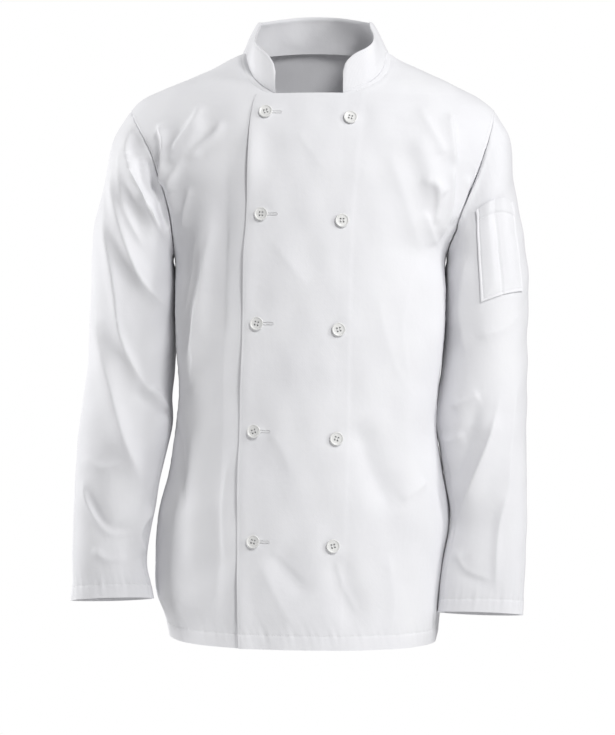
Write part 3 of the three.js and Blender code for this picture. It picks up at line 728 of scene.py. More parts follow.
def cloth(name, points, normals, lift=0.0, thick=WALL, keep=None, tone=1.0, roll=0.0):
    """The cloth of one solid on a grid of points, lifted along its normals and rolled in."""
    outer = points + normals * np.asarray(lift)[..., None]
    inner = outer - normals * np.broadcast_to(thick, outer.shape[:2])[..., None]
    outer = outer - normals * np.asarray(roll)[..., None]
    across = cumulative(outer, 1)
    across = across - across[:, [across.shape[1] // 2]]
    along = cumulative(outer, 0).mean(axis=1, keepdims=True)
    uv = np.stack(np.broadcast_arrays(across, along), axis=-1).reshape(-1, 2)
    shade = np.broadcast_to(tone, outer.shape[:2]).ravel()
    vertices, faces, source = shell(outer, inner, keep)
    made = make_mesh(f"{name}_cloth", vertices, faces, CLOTH, uv[source], shade[source])
    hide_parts(name)
    PIECES[name] = SimpleNamespace(object=made, outer=outer, normals=normals)


def node_material(name, color, roughness, build=None):
    """A material whose further nodes are added by a function."""
    material = bpy.data.materials.new(name)
    material.use_nodes = True
    nodes, links = material.node_tree.nodes, material.node_tree.links
    shader = nodes["Principled BSDF"]
    shader.inputs["Base Color"].default_value = (*color, 1)
    shader.inputs["Roughness"].default_value = roughness
    if build:
        build(nodes, links, shader)
    return material


def new_node(nodes, kind, **settings):
    """A node with its properties and its inputs set by name."""
    node = nodes.new(kind)
    for name, value in settings.items():
        if hasattr(node, name):
            setattr(node, name, value)
        else:
            node.inputs[name.replace("_", " ")].default_value = value
    return node


def mottled(nodes, links, value, dark, light, places=(0.0, 1.0)):
    """A colour between two as a value goes from one place to another."""
    shades = new_node(nodes, "ShaderNodeValToRGB")
    for element, place, color in zip(shades.color_ramp.elements, places, (dark, light)):
        element.position = place
        element.color = (*color, 1)
    links.new(value, shades.inputs["Fac"])
    return shades.outputs["Color"]


def roughened(nodes, links, value, strength, distance):
    """A bump that follows a value."""
    bump = new_node(nodes, "ShaderNodeBump", Strength=strength, Distance=distance)
    links.new(value, bump.inputs["Height"])
    return bump


def speckle(nodes, links, vector, **settings):
    """The value of a noise over a vector."""
    noise = new_node(nodes, "ShaderNodeTexNoise", **settings)
    links.new(vector, noise.inputs["Vector"])
    return noise.outputs["Fac"]


# The cloth's white, and the twill as metres between its lines and their angle
CLOTH_WHITE = (0.84, 0.84, 0.86)
CLOTH_SHADED = (0.80, 0.80, 0.825)
TWILL = SimpleNamespace(pitch=0.0009, waves=0.314 / 2, turn=math.radians(27))


def build_twill(nodes, links, shader):
    """Fine diagonal twill, slubs in its threads, and a little change of tone over the cloth."""
    shader.inputs["Sheen Weight"].default_value = 0.15
    shader.inputs["Sheen Roughness"].default_value = 0.45
    shader.inputs["Specular IOR Level"].default_value = 0.22
    uv = new_node(nodes, "ShaderNodeUVMap", uv_map="cloth").outputs["UV"]
    place = new_node(nodes, "ShaderNodeTexCoord").outputs["Object"]
    turn = new_node(nodes, "ShaderNodeMapping", Rotation=(0, 0, TWILL.turn))
    slubs = new_node(nodes, "ShaderNodeMapping", Scale=(60, 900, 1))
    for mapping in (turn, slubs):
        links.new(uv, mapping.inputs["Vector"])
    scale = TWILL.waves / TWILL.pitch
    twill = new_node(nodes, "ShaderNodeTexWave", Scale=scale, Distortion=0.6, Detail=1.0)
    links.new(turn.outputs["Vector"], twill.inputs["Vector"])
    threads = speckle(nodes, links, slubs.outputs["Vector"], Scale=1.0, Detail=3.0)
    rumple = speckle(nodes, links, place, Scale=42.0, Detail=4.0, Roughness=0.6)
    weave = new_node(nodes, "ShaderNodeMix", data_type="FLOAT")
    weave.inputs[0].default_value = 0.35
    links.new(twill.outputs["Fac"], weave.inputs[2])
    links.new(threads, weave.inputs[3])
    fine = roughened(nodes, links, weave.outputs[0], 0.35, 0.0002)
    broad = roughened(nodes, links, rumple, 0.5, 0.0011)
    links.new(broad.outputs["Normal"], fine.inputs["Normal"])
    links.new(fine.outputs["Normal"], shader.inputs["Normal"])
    stain = speckle(nodes, links, place, Scale=9.0, Detail=3.0)
    tone = new_node(nodes, "ShaderNodeVertexColor", layer_name="tone")
    color = new_node(nodes, "ShaderNodeMix", data_type="RGBA", blend_type="MULTIPLY")
    color.inputs[0].default_value = 1.0
    links.new(mottled(nodes, links, stain, CLOTH_SHADED, CLOTH_WHITE, (0.3, 0.7)), color.inputs[6])
    links.new(tone.outputs["Color"], color.inputs[7])
    links.new(color.outputs[2], shader.inputs["Base Color"])
    rough = new_node(nodes, "ShaderNodeMapRange", To_Min=0.78, To_Max=0.92)
    links.new(threads, rough.inputs["Value"])
    links.new(rough.outputs["Result"], shader.inputs["Roughness"])


def build_thread(nodes, links, shader):
    """Spun sewing thread: fine twist along its length and an uneven tone."""
    shader.inputs["Sheen Weight"].default_value = 0.1
    place = new_node(nodes, "ShaderNodeTexCoord").outputs["Object"]
    twist = speckle(nodes, links, place, Scale=2600.0, Detail=2.0)
    bump = roughened(nodes, links, twist, 0.4, 0.0001)
    links.new(bump.outputs["Normal"], shader.inputs["Normal"])
    color = mottled(nodes, links, twist, (0.74, 0.74, 0.76), (0.88, 0.88, 0.89))
    links.new(color, shader.inputs["Base Color"])


def build_resin(nodes, links, shader):
    """Moulded button resin: faint cloudiness and a satin finish with fine turning marks."""
    shader.inputs["Specular IOR Level"].default_value = 0.5
    shader.inputs["Coat Weight"].default_value = 0.25
    shader.inputs["Coat Roughness"].default_value = 0.2
    place = new_node(nodes, "ShaderNodeTexCoord").outputs["Object"]
    cloud = speckle(nodes, links, place, Scale=260.0, Detail=3.0)
    color = mottled(nodes, links, cloud, (0.78, 0.78, 0.77), (0.88, 0.88, 0.865))
    links.new(color, shader.inputs["Base Color"])
    marks = speckle(nodes, links, place, Scale=1500.0, Detail=2.0)
    bump = roughened(nodes, links, marks, 0.15, 0.0001)
    links.new(bump.outputs["Normal"], shader.inputs["Normal"])


CLOTH = node_material("twill_cloth", CLOTH_WHITE, 0.85, build_twill)
THREAD = node_material("sewing_thread", (0.84, 0.84, 0.85), 0.7, build_thread)
# Painted shadow: a dark grey sheet stands for the shade inside each buttonhole's slit; build_thread
# then links thread colours over this base colour
SHADOW = node_material("painted_slit_shadow", (0.2, 0.2, 0.21), 0.9, build_thread)
RESIN = node_material("button_resin", (0.86, 0.86, 0.85), 0.32, build_resin)


# Stitches

STITCH = SimpleNamespace(length=2.5, gap=0.9, radius=0.3, sides=6, lift=0.05, hem_lift=0.1)
# Rings of a stitch: share of the way from its middle to an end, size, and height in radii
STITCH_RINGS = [
    (-1.0, 0.15, -1.2),
    (-0.8, 0.8, -0.1),
    (0.0, 1.0, 0.15),
    (0.8, 0.8, -0.1),
    (1.0, 0.15, -1.2),
]
# How far stitches lie from the armholes, from the collar and from a sleeve's rear seam
INSET = SimpleNamespace(armhole=6.0, collar=8.5, sleeve=2.2)
# A direction that no thread runs along
ASIDE = np.array([0.05, 0.02, 1.0])


def circle(sides, first, second):
    """Steps round a circle in the plane of two directions, for each pair of them."""
    turn = (np.arange(sides) * 2 * math.pi / sides)[:, None]
    return np.cos(turn) * first[:, None] + np.sin(turn) * second[:, None]


def between_rings(count, sides):
    """Faces between rings of vertices that follow one another."""
    ring, i = np.divmod(np.arange((count - 1) * sides), sides)
    here, beside = ring * sides + i, ring * sides + (i + 1) % sides
    return np.stack([here, beside, beside + sides, here + sides], axis=-1)


def closed_rings(rings):
    """Vertices and faces of a solid through rings of points, closed at both ends."""
    count, sides = rings.shape[:2]
    end = np.arange(sides)
    faces = between_rings(count, sides).tolist()
    faces += [end[::-1].tolist(), (end + (count - 1) * sides).tolist()]
    return rings.reshape(-1, 3), faces


def lathe(profile, sides):
    """Vertices and faces of a profile of (radius, height) turned round +Z."""
    turn = np.arange(sides) * 2 * math.pi / sides
    radius, height = np.array(profile, float).T[..., None]
    return closed_rings(stack(radius * np.cos(turn), radius * np.sin(turn), height))


def tube(points, radius, sides):
    """Vertices and faces of a round tube along points."""
    along = unit(np.gradient(points, axis=0))
    side = unit(np.cross(along, ASIDE))
    return closed_rings(points[:, None] + radius * circle(sides, side, np.cross(side, along)))


def make_thread(name, parts, sharp=None):
    """One piece of thread from parts that each have vertices and faces."""
    faces = []
    count = 0
    for vertices, part_faces in parts:
        faces.extend([[i + count for i in face] for face in part_faces])
        count += len(vertices)
    vertices = np.concatenate([vertices for vertices, _ in parts])
    make_mesh(name, vertices, faces, THREAD, sharp=sharp)


def lengths_along(points):
    """The distance along a line to each of its points."""
    return np.insert(np.cumsum(np.linalg.norm(np.diff(points, axis=0), axis=1)), 0, 0)


def on_line(where, at, values):
    """Values at distances along a line, from those at its points."""
    return np.stack([np.interp(where, at, column) for column in values.T], -1)


def stitches(points, normals, lift):
    """Vertices and faces of the stitches along a line of points on the cloth."""
    at = lengths_along(points)
    count = max(int(at[-1] / (STITCH.length + STITCH.gap)), 1)
    centres = (np.arange(count) + 0.5) * at[-1] / count
    half = STITCH.length / 2
    start, middle, end = (on_line(centres + step, at, points) for step in (-half, 0, half))
    normal = unit(on_line(centres, at, normals))
    side = unit(np.cross(normal, unit(end - start)))
    around = STITCH.radius * circle(STITCH.sides, side, normal)
    rings = []
    for share, size, up in STITCH_RINGS:
        centre = mix(middle, end if share > 0 else start, abs(share))
        centre = centre + normal * (lift + up * STITCH.radius)
        rings.append(centre[:, None] + size * around)
    one = between_rings(len(rings), STITCH.sides)[:, [0, 3, 2, 1]]
    starts = np.arange(count) * len(rings) * STITCH.sides
    faces = (one + starts[:, None, None]).reshape(-1, 4)
    return np.stack(rings, axis=1).reshape(-1, 3), faces.tolist()


def sample(grid, rows, columns):
    """Values of a grid at fractional rows and columns."""
    rows = np.clip(rows, 0, grid.shape[0] - 1.001)
    columns = np.clip(columns, 0, grid.shape[1] - 1.001)
    j, i = rows.astype(int), columns.astype(int)
    v, u = (rows - j)[:, None], (columns - i)[:, None]
    lower = mix(grid[j, i], grid[j, i + 1], u)
    upper = mix(grid[j + 1, i], grid[j + 1, i + 1], u)
    return mix(lower, upper, v)


def sew(piece, rows, columns, lift=STITCH.lift):
    """Stitches through fractional rows and columns of a piece of cloth."""
    rows, columns = np.broadcast_arrays(np.asarray(rows, float), np.asarray(columns, float))
    points, normals = (sample(grid, rows, columns) for grid in (piece.outer, piece.normals))
    return stitches(points, normals, lift)


def sew_beside(piece, rows, first, last, distance):
    """Stitches down some rows, a distance in from column first towards column last."""
    step = 1 if last > first else -1
    order = list(range(first, last + step, step))
    columns = []
    for row in rows:
        at = lengths_along(piece.outer[row][order])
        columns.append(first + step * np.interp(distance, at, np.arange(len(at))))
    return sew(piece, rows, columns)


# Fronts and back

# Steps between rows, also above given heights and close to a line of stitches
ROW_STEP = 3.0
UPPER_ROW_STEPS = [(ARMPIT_Z, 2.8), (SHOULDER_POINT_Z, 2.5), (FLAP_TOP_Z, 2.5), (NECK_Z, 0)]
STITCH_STEP = 0.7


def rows_between(low, high, step=ROW_STEP):
    """Even rows from low to just below high."""
    return np.linspace(low, high, max(int(round(abs(high - low) / step)), 1), endpoint=False)


def rows_at_stitches(at):
    """Rows close together at a line of stitches."""
    return at + np.array([-2, -1, 0, 1, 2]) * STITCH_STEP


def body_rows():
    """Heights of the rows, from the hem to the neck."""
    near = rows_at_stitches(HEM_Z + HEM.depth)
    parts = [
        [HEM_Z, HEM_Z + 0.6],
        rows_between(HEM_Z + 3, near[0]),
        near,
        rows_between(near[-1] + 2, ARMPIT_Z),
    ]
    for (low, step), (high, _) in zip(UPPER_ROW_STEPS, UPPER_ROW_STEPS[1:]):
        parts.append(rows_between(low, high, step))
    return np.concatenate([*parts, [NECK_Z]])


ROWS = body_rows()
HEM_ROW = float(np.interp(HEM_Z + HEM.depth, ROWS, np.arange(len(ROWS))))
TOP_ROW = int(np.argmin(np.abs(ROWS - FLAP_TOP_Z)))
ARMHOLE_ROWS = np.arange(int(np.argmin(np.abs(ROWS - ARMPIT_Z))), len(ROWS) - 1)
NECK_ROWS = np.arange(TOP_ROW + 1, len(ROWS) - 1)
# Columns of the fronts between the side seams, the flap's edge, the collar's ends and the hidden
# edge of the front under the flap
FRONT_COUNTS = [76, 12, 36, 12, 88]
SIDE_END, COLLAR_RIGHT, COLLAR_LEFT, UNDER, LAST = (int(v) for v in np.cumsum(FRONT_COUNTS))
BACK_COLUMNS = 150

# The flap's edge: how far it is rolled in and over what width, and where its facing ends
FLAP_ROLL = SimpleNamespace(depth=0.7, width=1.6)
FACING = SimpleNamespace(ends=(118, 121), lighter=0.015)


def front_grid():
    """The columns of the fronts in each row, as s."""
    lines = front_lines(ROWS)
    ones = np.ones(len(ROWS))
    stops = [-ones, lines.flap, lines.collar_right, lines.collar_left, lines.under, ones]
    columns = [-ones[:, None]]
    for start, end, count in zip(stops, stops[1:], FRONT_COUNTS):
        columns.append(mix(start[:, None], end[:, None], np.arange(1, count + 1) / count))
    return np.concatenate(columns, axis=1)


# Furrows that a seam or a line of stitches pulls into the cloth: depth and width
FURROWS = {
    "hem": (0.5, 1.1),
    "seam": (0.7, 1.8),
    "beside collar": (0.6, 2.2),
    "collar": (0.3, 1.2),
    "pocket edge": (0.5, 1.0),
    "pocket division": (0.9, 1.4),
    "pocket hem": (0.7, 1.3),
}
# Ripples across a line of stitches: height, how far they reach, and the lengths of their waves
PUCKERS = {"seam": (0.35, 14), "hem": (0.4, 10), "armhole": (0.5, 16)}
PUCKER_LENGTHS = (9.0, 13.0, 19.0)


def furrow(kind, distance):
    """How deep a furrow is at a distance from its middle."""
    depth, width = FURROWS[kind]
    return depth * np.exp(-((distance / width) ** 2))


def puckers(kind, seed, along, distance):
    """Height of small ripples across a line of stitches, strongest at the line."""
    height, reach = PUCKERS[kind]
    random = np.random.default_rng(seed)
    ripple = np.zeros(np.broadcast(along, distance).shape)
    for length in PUCKER_LENGTHS:
        phase = random.uniform(0, 2 * math.pi)
        ripple = ripple + np.sin(along * (2 * math.pi / length) + phase)
    return height * ripple / 2 * np.exp(-np.abs(distance) / reach)


def turned_hem(above, along, seed):
    """Thickness, height and tone of cloth at heights above its hem."""
    thicker = HEM.thicker * (1 - smooth(above, HEM.depth, HEM.depth + HEM.fade))
    height = HEM.proud * thicker - furrow("hem", above - HEM.depth)
    height = height + puckers("hem", seed, along, above - HEM.depth)
    tone = 1 + HEM.lighter * (1 - smooth(above, HEM.depth, HEM.depth + HEM.tone_fade))
    return SimpleNamespace(thick=WALL + thicker, height=height, tone=tone)


def edge_distances(points):
    """How far each grid point is from its row's first and last point."""
    across = cumulative(points, 1)
    return across, across[:, -1:] - across


def body_cloth(face, s, seed):
    """The surface of one face of the body with its hem and its side seams."""
    row = np.broadcast_to(ROWS[:, None], s.shape)
    points, normals = body_surface(face, s, row)
    from_right, from_left = edge_distances(points)[:: FRONT_SIGN[face]]
    hem = turned_hem(row - HEM_Z, from_right, seed + 2)
    height = hem.height
    along = cumulative(points, 0)
    for seam_seed, distance in ((seed, from_right), (seed + 1, from_left)):
        height = height - furrow("seam", distance) + puckers("seam", seam_seed, along, distance)
    return row, points, normals, from_right, hem, height


def make_fronts():
    """Both fronts on one grid, from the right side seam to the left, each with cells of its own."""
    s = front_grid()
    row, points, normals, from_right, hem, height = body_cloth("front", s, 3)
    beside_right = from_right[:, [COLLAR_RIGHT]] - from_right
    beside_left = from_right - from_right[:, [COLLAR_LEFT]]
    beside = np.where(s < 0, beside_right, beside_left) - INSET.collar
    height = height - (row > FLAP_TOP_Z) * furrow("beside collar", beside)
    below = np.arange(len(ROWS) - 1)[:, None] < TOP_ROW
    column = np.arange(LAST)
    keep = column < np.where(below, UNDER, COLLAR_RIGHT)
    cloth("front_right", points, normals, height, hem.thick, keep, hem.tone)
    from_flap = from_right - from_right[:, [SIDE_END]]
    roll = FLAP_ROLL.depth * np.exp(-((from_flap / FLAP_ROLL.width) ** 2))
    roll = roll * (row <= FLAP_TOP_Z + 0.1)
    doubled = 1 - smooth(from_flap, *FACING.ends) * (row <= FLAP_TOP_Z)
    tone = hem.tone * (1 + FACING.lighter * doubled)
    height = height + flap_lift(s, row, points[..., 0], points[..., 2])
    keep = column >= np.where(below, SIDE_END, COLLAR_LEFT)
    cloth("front_left", points, normals, height, hem.thick, keep, tone, roll)
    for side, start, end, seam_column, collar_column in (
        ("left", SIDE_END + 1, LAST, LAST, COLLAR_LEFT),
        ("right", 1, UNDER - 1, 0, COLLAR_RIGHT),
    ):
        front = PIECES[f"front_{side}"]
        parts = [
            sew(front, HEM_ROW, np.arange(start, end), STITCH.hem_lift),
            sew_beside(front, ARMHOLE_ROWS, seam_column, collar_column, INSET.armhole),
            sew_beside(front, NECK_ROWS, collar_column, seam_column, INSET.collar),
        ]
        make_thread(f"front_{side}_stitches", parts)


def make_back():
    """The back on one grid, from the left side seam to the right."""
    s = np.broadcast_to(np.linspace(1, -1, BACK_COLUMNS + 1), (len(ROWS), BACK_COLUMNS + 1))
    _, points, normals, _, hem, height = body_cloth("back", s, 6)
    cloth("back", points, normals, height, hem.thick, tone=hem.tone)
    back = PIECES["back"]
    parts = [sew(back, HEM_ROW, np.arange(1, BACK_COLUMNS), STITCH.hem_lift)]
    for first in (0, BACK_COLUMNS):
        parts.append(sew_beside(back, ARMHOLE_ROWS, first, BACK_COLUMNS // 2, INSET.armhole))
    make_thread("back_stitches", parts)


# Sleeves

# How the inner side of each sleeve is pressed in behind the body's side under the arm
UNDER_ARM = SimpleNamespace(height=3.2, angle=202, spread=20, starts=(20, 70), ends=(230, 320))
FOREARM = SimpleNamespace(height=3.0, angle=186, spread=24, starts=(330, 420), ends=(560, 620))
TUCKS = {"right": [UNDER_ARM], "left": [UNDER_ARM, FOREARM]}

# Limits and steps of the angle round a sleeve and the distance down it, for its normals
SLEEVE_ANGLES = (-10, 10)
SLEEVE_STEPS = (0.02, 3)
HALF_COLUMNS = {"upper": 104, "under": 46}


def sleeve_form(side, angle, down):
    """Points of the bare sleeve at an angle round the arm and a distance down it."""
    row = read(SLEEVES[side], down)
    first = SimpleNamespace(**{name: column[0] for name, column in SLEEVES[side].items()})
    across, towards = np.cos(angle), -np.sin(angle)
    share = (across + 1) / 2
    front = towards < 0
    depth = np.where(front, -row.front, row.back)
    x = mix(row.inner_x, row.outer_x, share)
    y = row.middle + depth * roundness(across, row.power)
    z = mix(row.inner_z, row.outer_z, share) - row.tip * towards
    seam_z = mix(first.inner_z, first.outer_z, share)
    seam_x = np.where(front, armhole_x("front", side, seam_z), armhole_x("back", side, seam_z))
    straight_x = mix(first.inner_x, first.outer_x, share)
    x = x + (seam_x - straight_x) * (1 - smooth(down, 0, ARMHOLE_FADE))
    return stack(x + SIDE_SIGN[side] * ARMHOLE_GAP, y, z)


def sleeve_surface(side, angle, down):
    """Points and normals of the worn sleeve with its folds and creases."""

    def form(a, b):
        return sleeve_form(side, a, b)

    limits = (SLEEVE_ANGLES, (0, SLEEVE_LENGTH[side]))
    points = form(angle, down)
    normals = normals_of(form, angle, down, SLEEVE_STEPS, limits, SIDE_SIGN[side])
    x, z = points[..., 0], points[..., 2]
    large = fine = 0
    for face, facing in (("front", -normals[..., 1]), ("back", normals[..., 1])):
        seen = smooth(facing, 0, 0.5)
        large = large + seen * relief(FOLDS[f"{side} sleeve {face}"], x, z)
        fine = fine + seen * relief(CREASES[f"{side} sleeve {face}"], x, z)
    fine = CREASE_DEPTH["sleeve"] * fine + unevenness(21, points)
    height = smooth(down, 0, ARMHOLE_FADE) * large + smooth(down, 0, 10) * fine
    for tuck in TUCKS[side]:
        tucked = np.exp(-(((np.degrees(angle) - tuck.angle) / tuck.spread) ** 2))
        tucked = tucked * smooth(down, *tuck.starts) * (1 - smooth(down, *tuck.ends))
        height = height + tuck.height * tucked
    return points + normals * height[..., None], normals


def sleeve_rows(side):
    """Distances of the rows down a sleeve."""
    length = SLEEVE_LENGTH[side]
    near = rows_at_stitches(length - HEM.depth)
    parts = [
        [0.0, 1.0, 2.5],
        rows_between(4, near[0] - 1.5),
        near,
        rows_between(near[-1] + 2, length - 1),
        [length - 0.6, length],
    ]
    return np.concatenate(parts)


def make_sleeve_half(side, half, down, start, end):
    """The upper or the under half of a sleeve, between two seams given as degrees."""
    shares = np.linspace(0, 1, HALF_COLUMNS[half] + 1)[:: SIDE_SIGN[side]]
    angle = mix(np.radians(start)[:, None], np.radians(end)[:, None], shares)
    down = np.broadcast_to(down[:, None], angle.shape)
    points, normals = sleeve_surface(side, angle, down)
    from_first, from_last = edge_distances(points)
    hem = turned_hem(SLEEVE_LENGTH[side] - down, from_first, 10)
    height = hem.height - sum(furrow("seam", at) for at in (from_first, from_last, down))
    height = height + puckers("armhole", 9, from_first, down) * smooth(down, 0, 2)
    cloth(f"sleeve_{side}_{half}", points, normals, height, hem.thick, tone=hem.tone)


def make_sleeves():
    """Both halves of each sleeve and their stitches."""
    for side in ("right", "left"):
        down = sleeve_rows(side)
        seams = read(SLEEVE_SEAMS, down)
        make_sleeve_half(side, "upper", down, seams.rear, seams.inner)
        make_sleeve_half(side, "under", down, seams.inner, seams.rear + 360)
        hem_row = np.interp(SLEEVE_LENGTH[side] - HEM.depth, down, np.arange(len(down)))
        parts = []
        for half, columns in HALF_COLUMNS.items():
            piece = PIECES[f"sleeve_{side}_{half}"]
            parts.append(sew(piece, hem_row, np.arange(columns + 1), STITCH.hem_lift))
        upper, last = PIECES[f"sleeve_{side}_upper"], HALF_COLUMNS["upper"]
        rear = last if side == "right" else 0
        parts.append(sew_beside(upper, np.arange(3, len(down) - 1), rear, last // 2, INSET.sleeve))
        make_thread(f"sleeve_{side}_stitches", parts)


# Collar

COLLAR_COLUMNS = 170
# Heights of its rows as shares: close together at its foot and at its top
COLLAR_ROWS = np.concatenate(
    [[0.0, 0.012, 0.05, 0.09], np.linspace(0.13, 0.86, 12), [0.9, 0.93, 0.96, 0.985, 1.0]]
)
UP = np.array([0.0, 0.0, 1.0])
# Where its foot is read off the necklines of the fronts, as heights, and of the back, as s
NECK_HEIGHTS = np.array([-63, -60.5, -58, -54.5, -51, -42, -30, -18, -9, -4], float)
NECK_SHARES = np.array([-0.93, -0.7, -0.46, -0.22, 0, 0.22, 0.46, 0.7, 0.93])
NECK_SAMPLES = 900


def front_neck(side):
    """Points of one front's neckline, up from the collar's end."""

    def form(a, b):
        return body_form("front", a, b)

    s = front_share(getattr(read(NECKLINE, NECK_HEIGHTS), side), NECK_HEIGHTS)
    normals = normals_of(form, s, NECK_HEIGHTS, BODY_STEPS, BODY_LIMITS, 1)
    return form(s, NECK_HEIGHTS) + normals * (FLAP_LIFT if side == "left" else 0)


def collar_base():
    """Points along the neckline, from the collar's right end round the back to its left end."""
    back = body_form("back", NECK_SHARES, np.full(NECK_SHARES.shape, NECK_Z))
    points = np.concatenate([front_neck("right"), back, front_neck("left")[::-1]])
    at = lengths_along(points)
    line = {"at": at, "x": points[:, 0], "y": points[:, 1], "z": points[:, 2]}
    line = read(line, np.linspace(0, at[-1], NECK_SAMPLES))
    line = stack(line.x, line.y, line.z)
    at = lengths_along(line)
    even = np.linspace(0, at[-1], COLLAR_COLUMNS + 1)
    return on_line(even, at, line), even


def make_collar():
    """The two plies of the collar, which stand on the neckline and lean in."""
    base, at = collar_base()
    length = at[-1]
    from_end = np.minimum(at, length - at)
    end = np.clip(from_end / COLLAR.end_run, 0, 1)
    height = mix(COLLAR.end_height, COLLAR.height, np.sqrt(1 - (1 - end) ** 2))
    middle = 1 - np.abs(2 * at / length - 1)
    lean = mix(COLLAR.end_lean, COLLAR.side_lean, smooth(middle, *COLLAR.side_shares))
    further = COLLAR.back_lean - COLLAR.side_lean
    lean = np.radians(lean + further * smooth(middle, *COLLAR.back_shares))
    along = unit(np.gradient(base, axis=0))
    inward = unit(np.cross(along, UP))
    rising = UP * np.cos(lean)[:, None] + inward * np.sin(lean)[:, None]
    through = unit(np.cross(along, rising))
    seat = COLLAR.seat + WALL * np.sin(lean) * 2
    share = COLLAR_ROWS[:, None]
    at_foot = share[..., None] == 0
    points = base + UP * seat[:, None] + rising * (height * share)[..., None]
    points = points - UP * (seat - COLLAR.scene_seat)[:, None] * at_foot
    outward = np.broadcast_to(-through, points.shape)
    edge = np.minimum(height * (1 - share), from_end)
    shape = unevenness(31, points, 40, 110, 0.45) * smooth(height * share, 0, 12)
    shape = shape + COLLAR.bulge * np.sin(np.pi * share) - furrow("collar", edge - COLLAR.stitch)
    roll = COLLAR.roll * np.exp(-((edge / COLLAR.roll_width) ** 2))
    outer = points + outward * shape[..., None]
    cloth("collar_outer", outer[:, ::-1], outward[:, ::-1], tone=1.01, roll=roll[:, ::-1])
    inner = points - rising * COLLAR.facing * at_foot
    inner = inner + outward * (shape - COLLAR.plies)[..., None]
    cloth("collar_inner", inner, -outward, tone=1.01, roll=roll)
    piece = PIECES["collar_outer"]
    stitch_share = 1 - COLLAR.stitch / height[::-1]
    edge_row = np.interp(stitch_share, COLLAR_ROWS, np.arange(len(COLLAR_ROWS)))
    columns = np.arange(5, COLLAR_COLUMNS - 4)
    foot = sew(piece, COLLAR.foot_row, np.arange(1, COLLAR_COLUMNS))
    make_thread("collar_stitches", [sew(piece, edge_row[columns], columns), foot])


# Pocket on the left upper sleeve

# Where the search for a place on a sleeve starts, its steps, and its small turn
SEARCH = SimpleNamespace(angle=70.0, down=150.0, steps=12, turn=0.01)


def sleeve_at(side, x, z):
    """The angle and distance at which a sleeve's front lies at x and z."""
    angle, down = np.radians(SEARCH.angle), SEARCH.down
    for _ in range(SEARCH.steps):
        here = sleeve_form(side, angle, down)
        turned = (sleeve_form(side, angle + SEARCH.turn, down) - here) / SEARCH.turn
        lower = sleeve_form(side, angle, down + 1) - here
        dx, dz = x - here[0], z - here[2]
        scale = turned[0] * lower[2] - turned[2] * lower[0]
        angle += (dx * lower[2] - dz * lower[0]) / scale
        down += (turned[0] * dz - turned[2] * dx) / scale
    return np.array([angle, down])


def make_pocket():
    """The pen pocket: puffed compartments, edges turned under and a hem at its mouth."""
    corners = [sleeve_at("left", *corner) for corner in POCKET.corners]
    high, wide = POCKET.grid
    v, u = np.meshgrid(np.linspace(0, 1, high + 1), np.linspace(0, 1, wide + 1), indexing="ij")
    lower = mix(corners[0], corners[1], u[..., None])
    upper = mix(corners[2], corners[3], u[..., None])
    place = mix(lower, upper, v[..., None])
    points, normals = sleeve_surface("left", place[..., 0], place[..., 1])
    width = np.linalg.norm(points[0, -1] - points[0, 0])
    height = np.linalg.norm(points[-1, 0] - points[0, 0])
    edge = np.minimum(np.minimum(u, 1 - u) * width, v * height)
    from_division = np.abs(u - POCKET.division) * width
    from_top = (1 - v) * height
    filled = smooth(edge, *PUFFED.from_edge) * smooth(from_division, *PUFFED.from_division)
    filled = filled * mix(PUFFED.at_bottom, 1, smooth(v, 0, 1))
    lift = POCKET.seat + WALL + POCKET.puff * filled
    lift = lift + POCKET.turning * (1 - smooth(edge, *POCKET.turned))
    lift = lift + POCKET.turning * (1 - smooth(from_top, POCKET.hem, POCKET.hem + 1.5))
    lift = lift - furrow("pocket edge", edge - POCKET.stitch)
    lift = lift - furrow("pocket division", from_division)
    lift = lift - furrow("pocket hem", from_top - POCKET.hem)
    roll = POCKET.roll * np.exp(-(edge**2))
    cloth("sleeve_pocket", points, normals, lift, tone=1.02, roll=roll)
    piece = PIECES["sleeve_pocket"]
    inset = POCKET.stitch / width * wide
    rows = np.linspace(POCKET.stitch / height * high, high - 0.5, 60)
    parts = [sew(piece, rows, at) for at in (inset, wide - inset, POCKET.division * wide)]
    for row in (rows[0], (1 - POCKET.hem / height) * high):
        parts.append(sew(piece, row, np.linspace(inset, wide - inset, 30)))
    make_thread("sleeve_pocket_stitches", parts)


# Buttons and buttonholes

# Angles from which edges are sharp, in degrees
TRIM_SHARP = 50
BUTTON_SHARP = 42
# How far the buttons are turned at most, in radians, and what sets them apart
BUTTON_TURN = 0.35
BUTTON_PHASE = {"edge": 1, "inner": 4}
# The threads over a button: their radius, how far they start below its dish and rise from there,
# how far they stop short of the holes, and their places beside a hole's middle
STRAND = SimpleNamespace(radius=0.17, sides=6, below=1.6, rise=2.0, short=0.35, beside=(-0.3, 0.15))
SHANK = [(1.9, -0.9), (1.6, -0.3), (1.7, 0.2)]
# Satin stitches: how high they arch and their radius, at the sides and at the ends of a hole
SATIN_SIDE = SimpleNamespace(arch=0.45, radius=0.2)
SATIN_END = SimpleNamespace(arch=0.5, radius=0.22, first=0.3, step=0.35)


def on_flap(x, z):
    """Points and normals of the flap at places along x."""
    row = np.full(x.shape, float(z))
    s = front_share(x, row)
    points, normals = body_surface("front", s, row)
    lift = flap_lift(s, row, points[:, 0], points[:, 2])
    return points + normals * lift[:, None], normals


def linked_mesh(name, vertices, faces):
    """A mesh object that only helps to shape another."""
    mesh = bpy.data.meshes.new(name)
    mesh.from_pydata((vertices * MM).tolist(), [], faces)
    return linked(name, mesh)


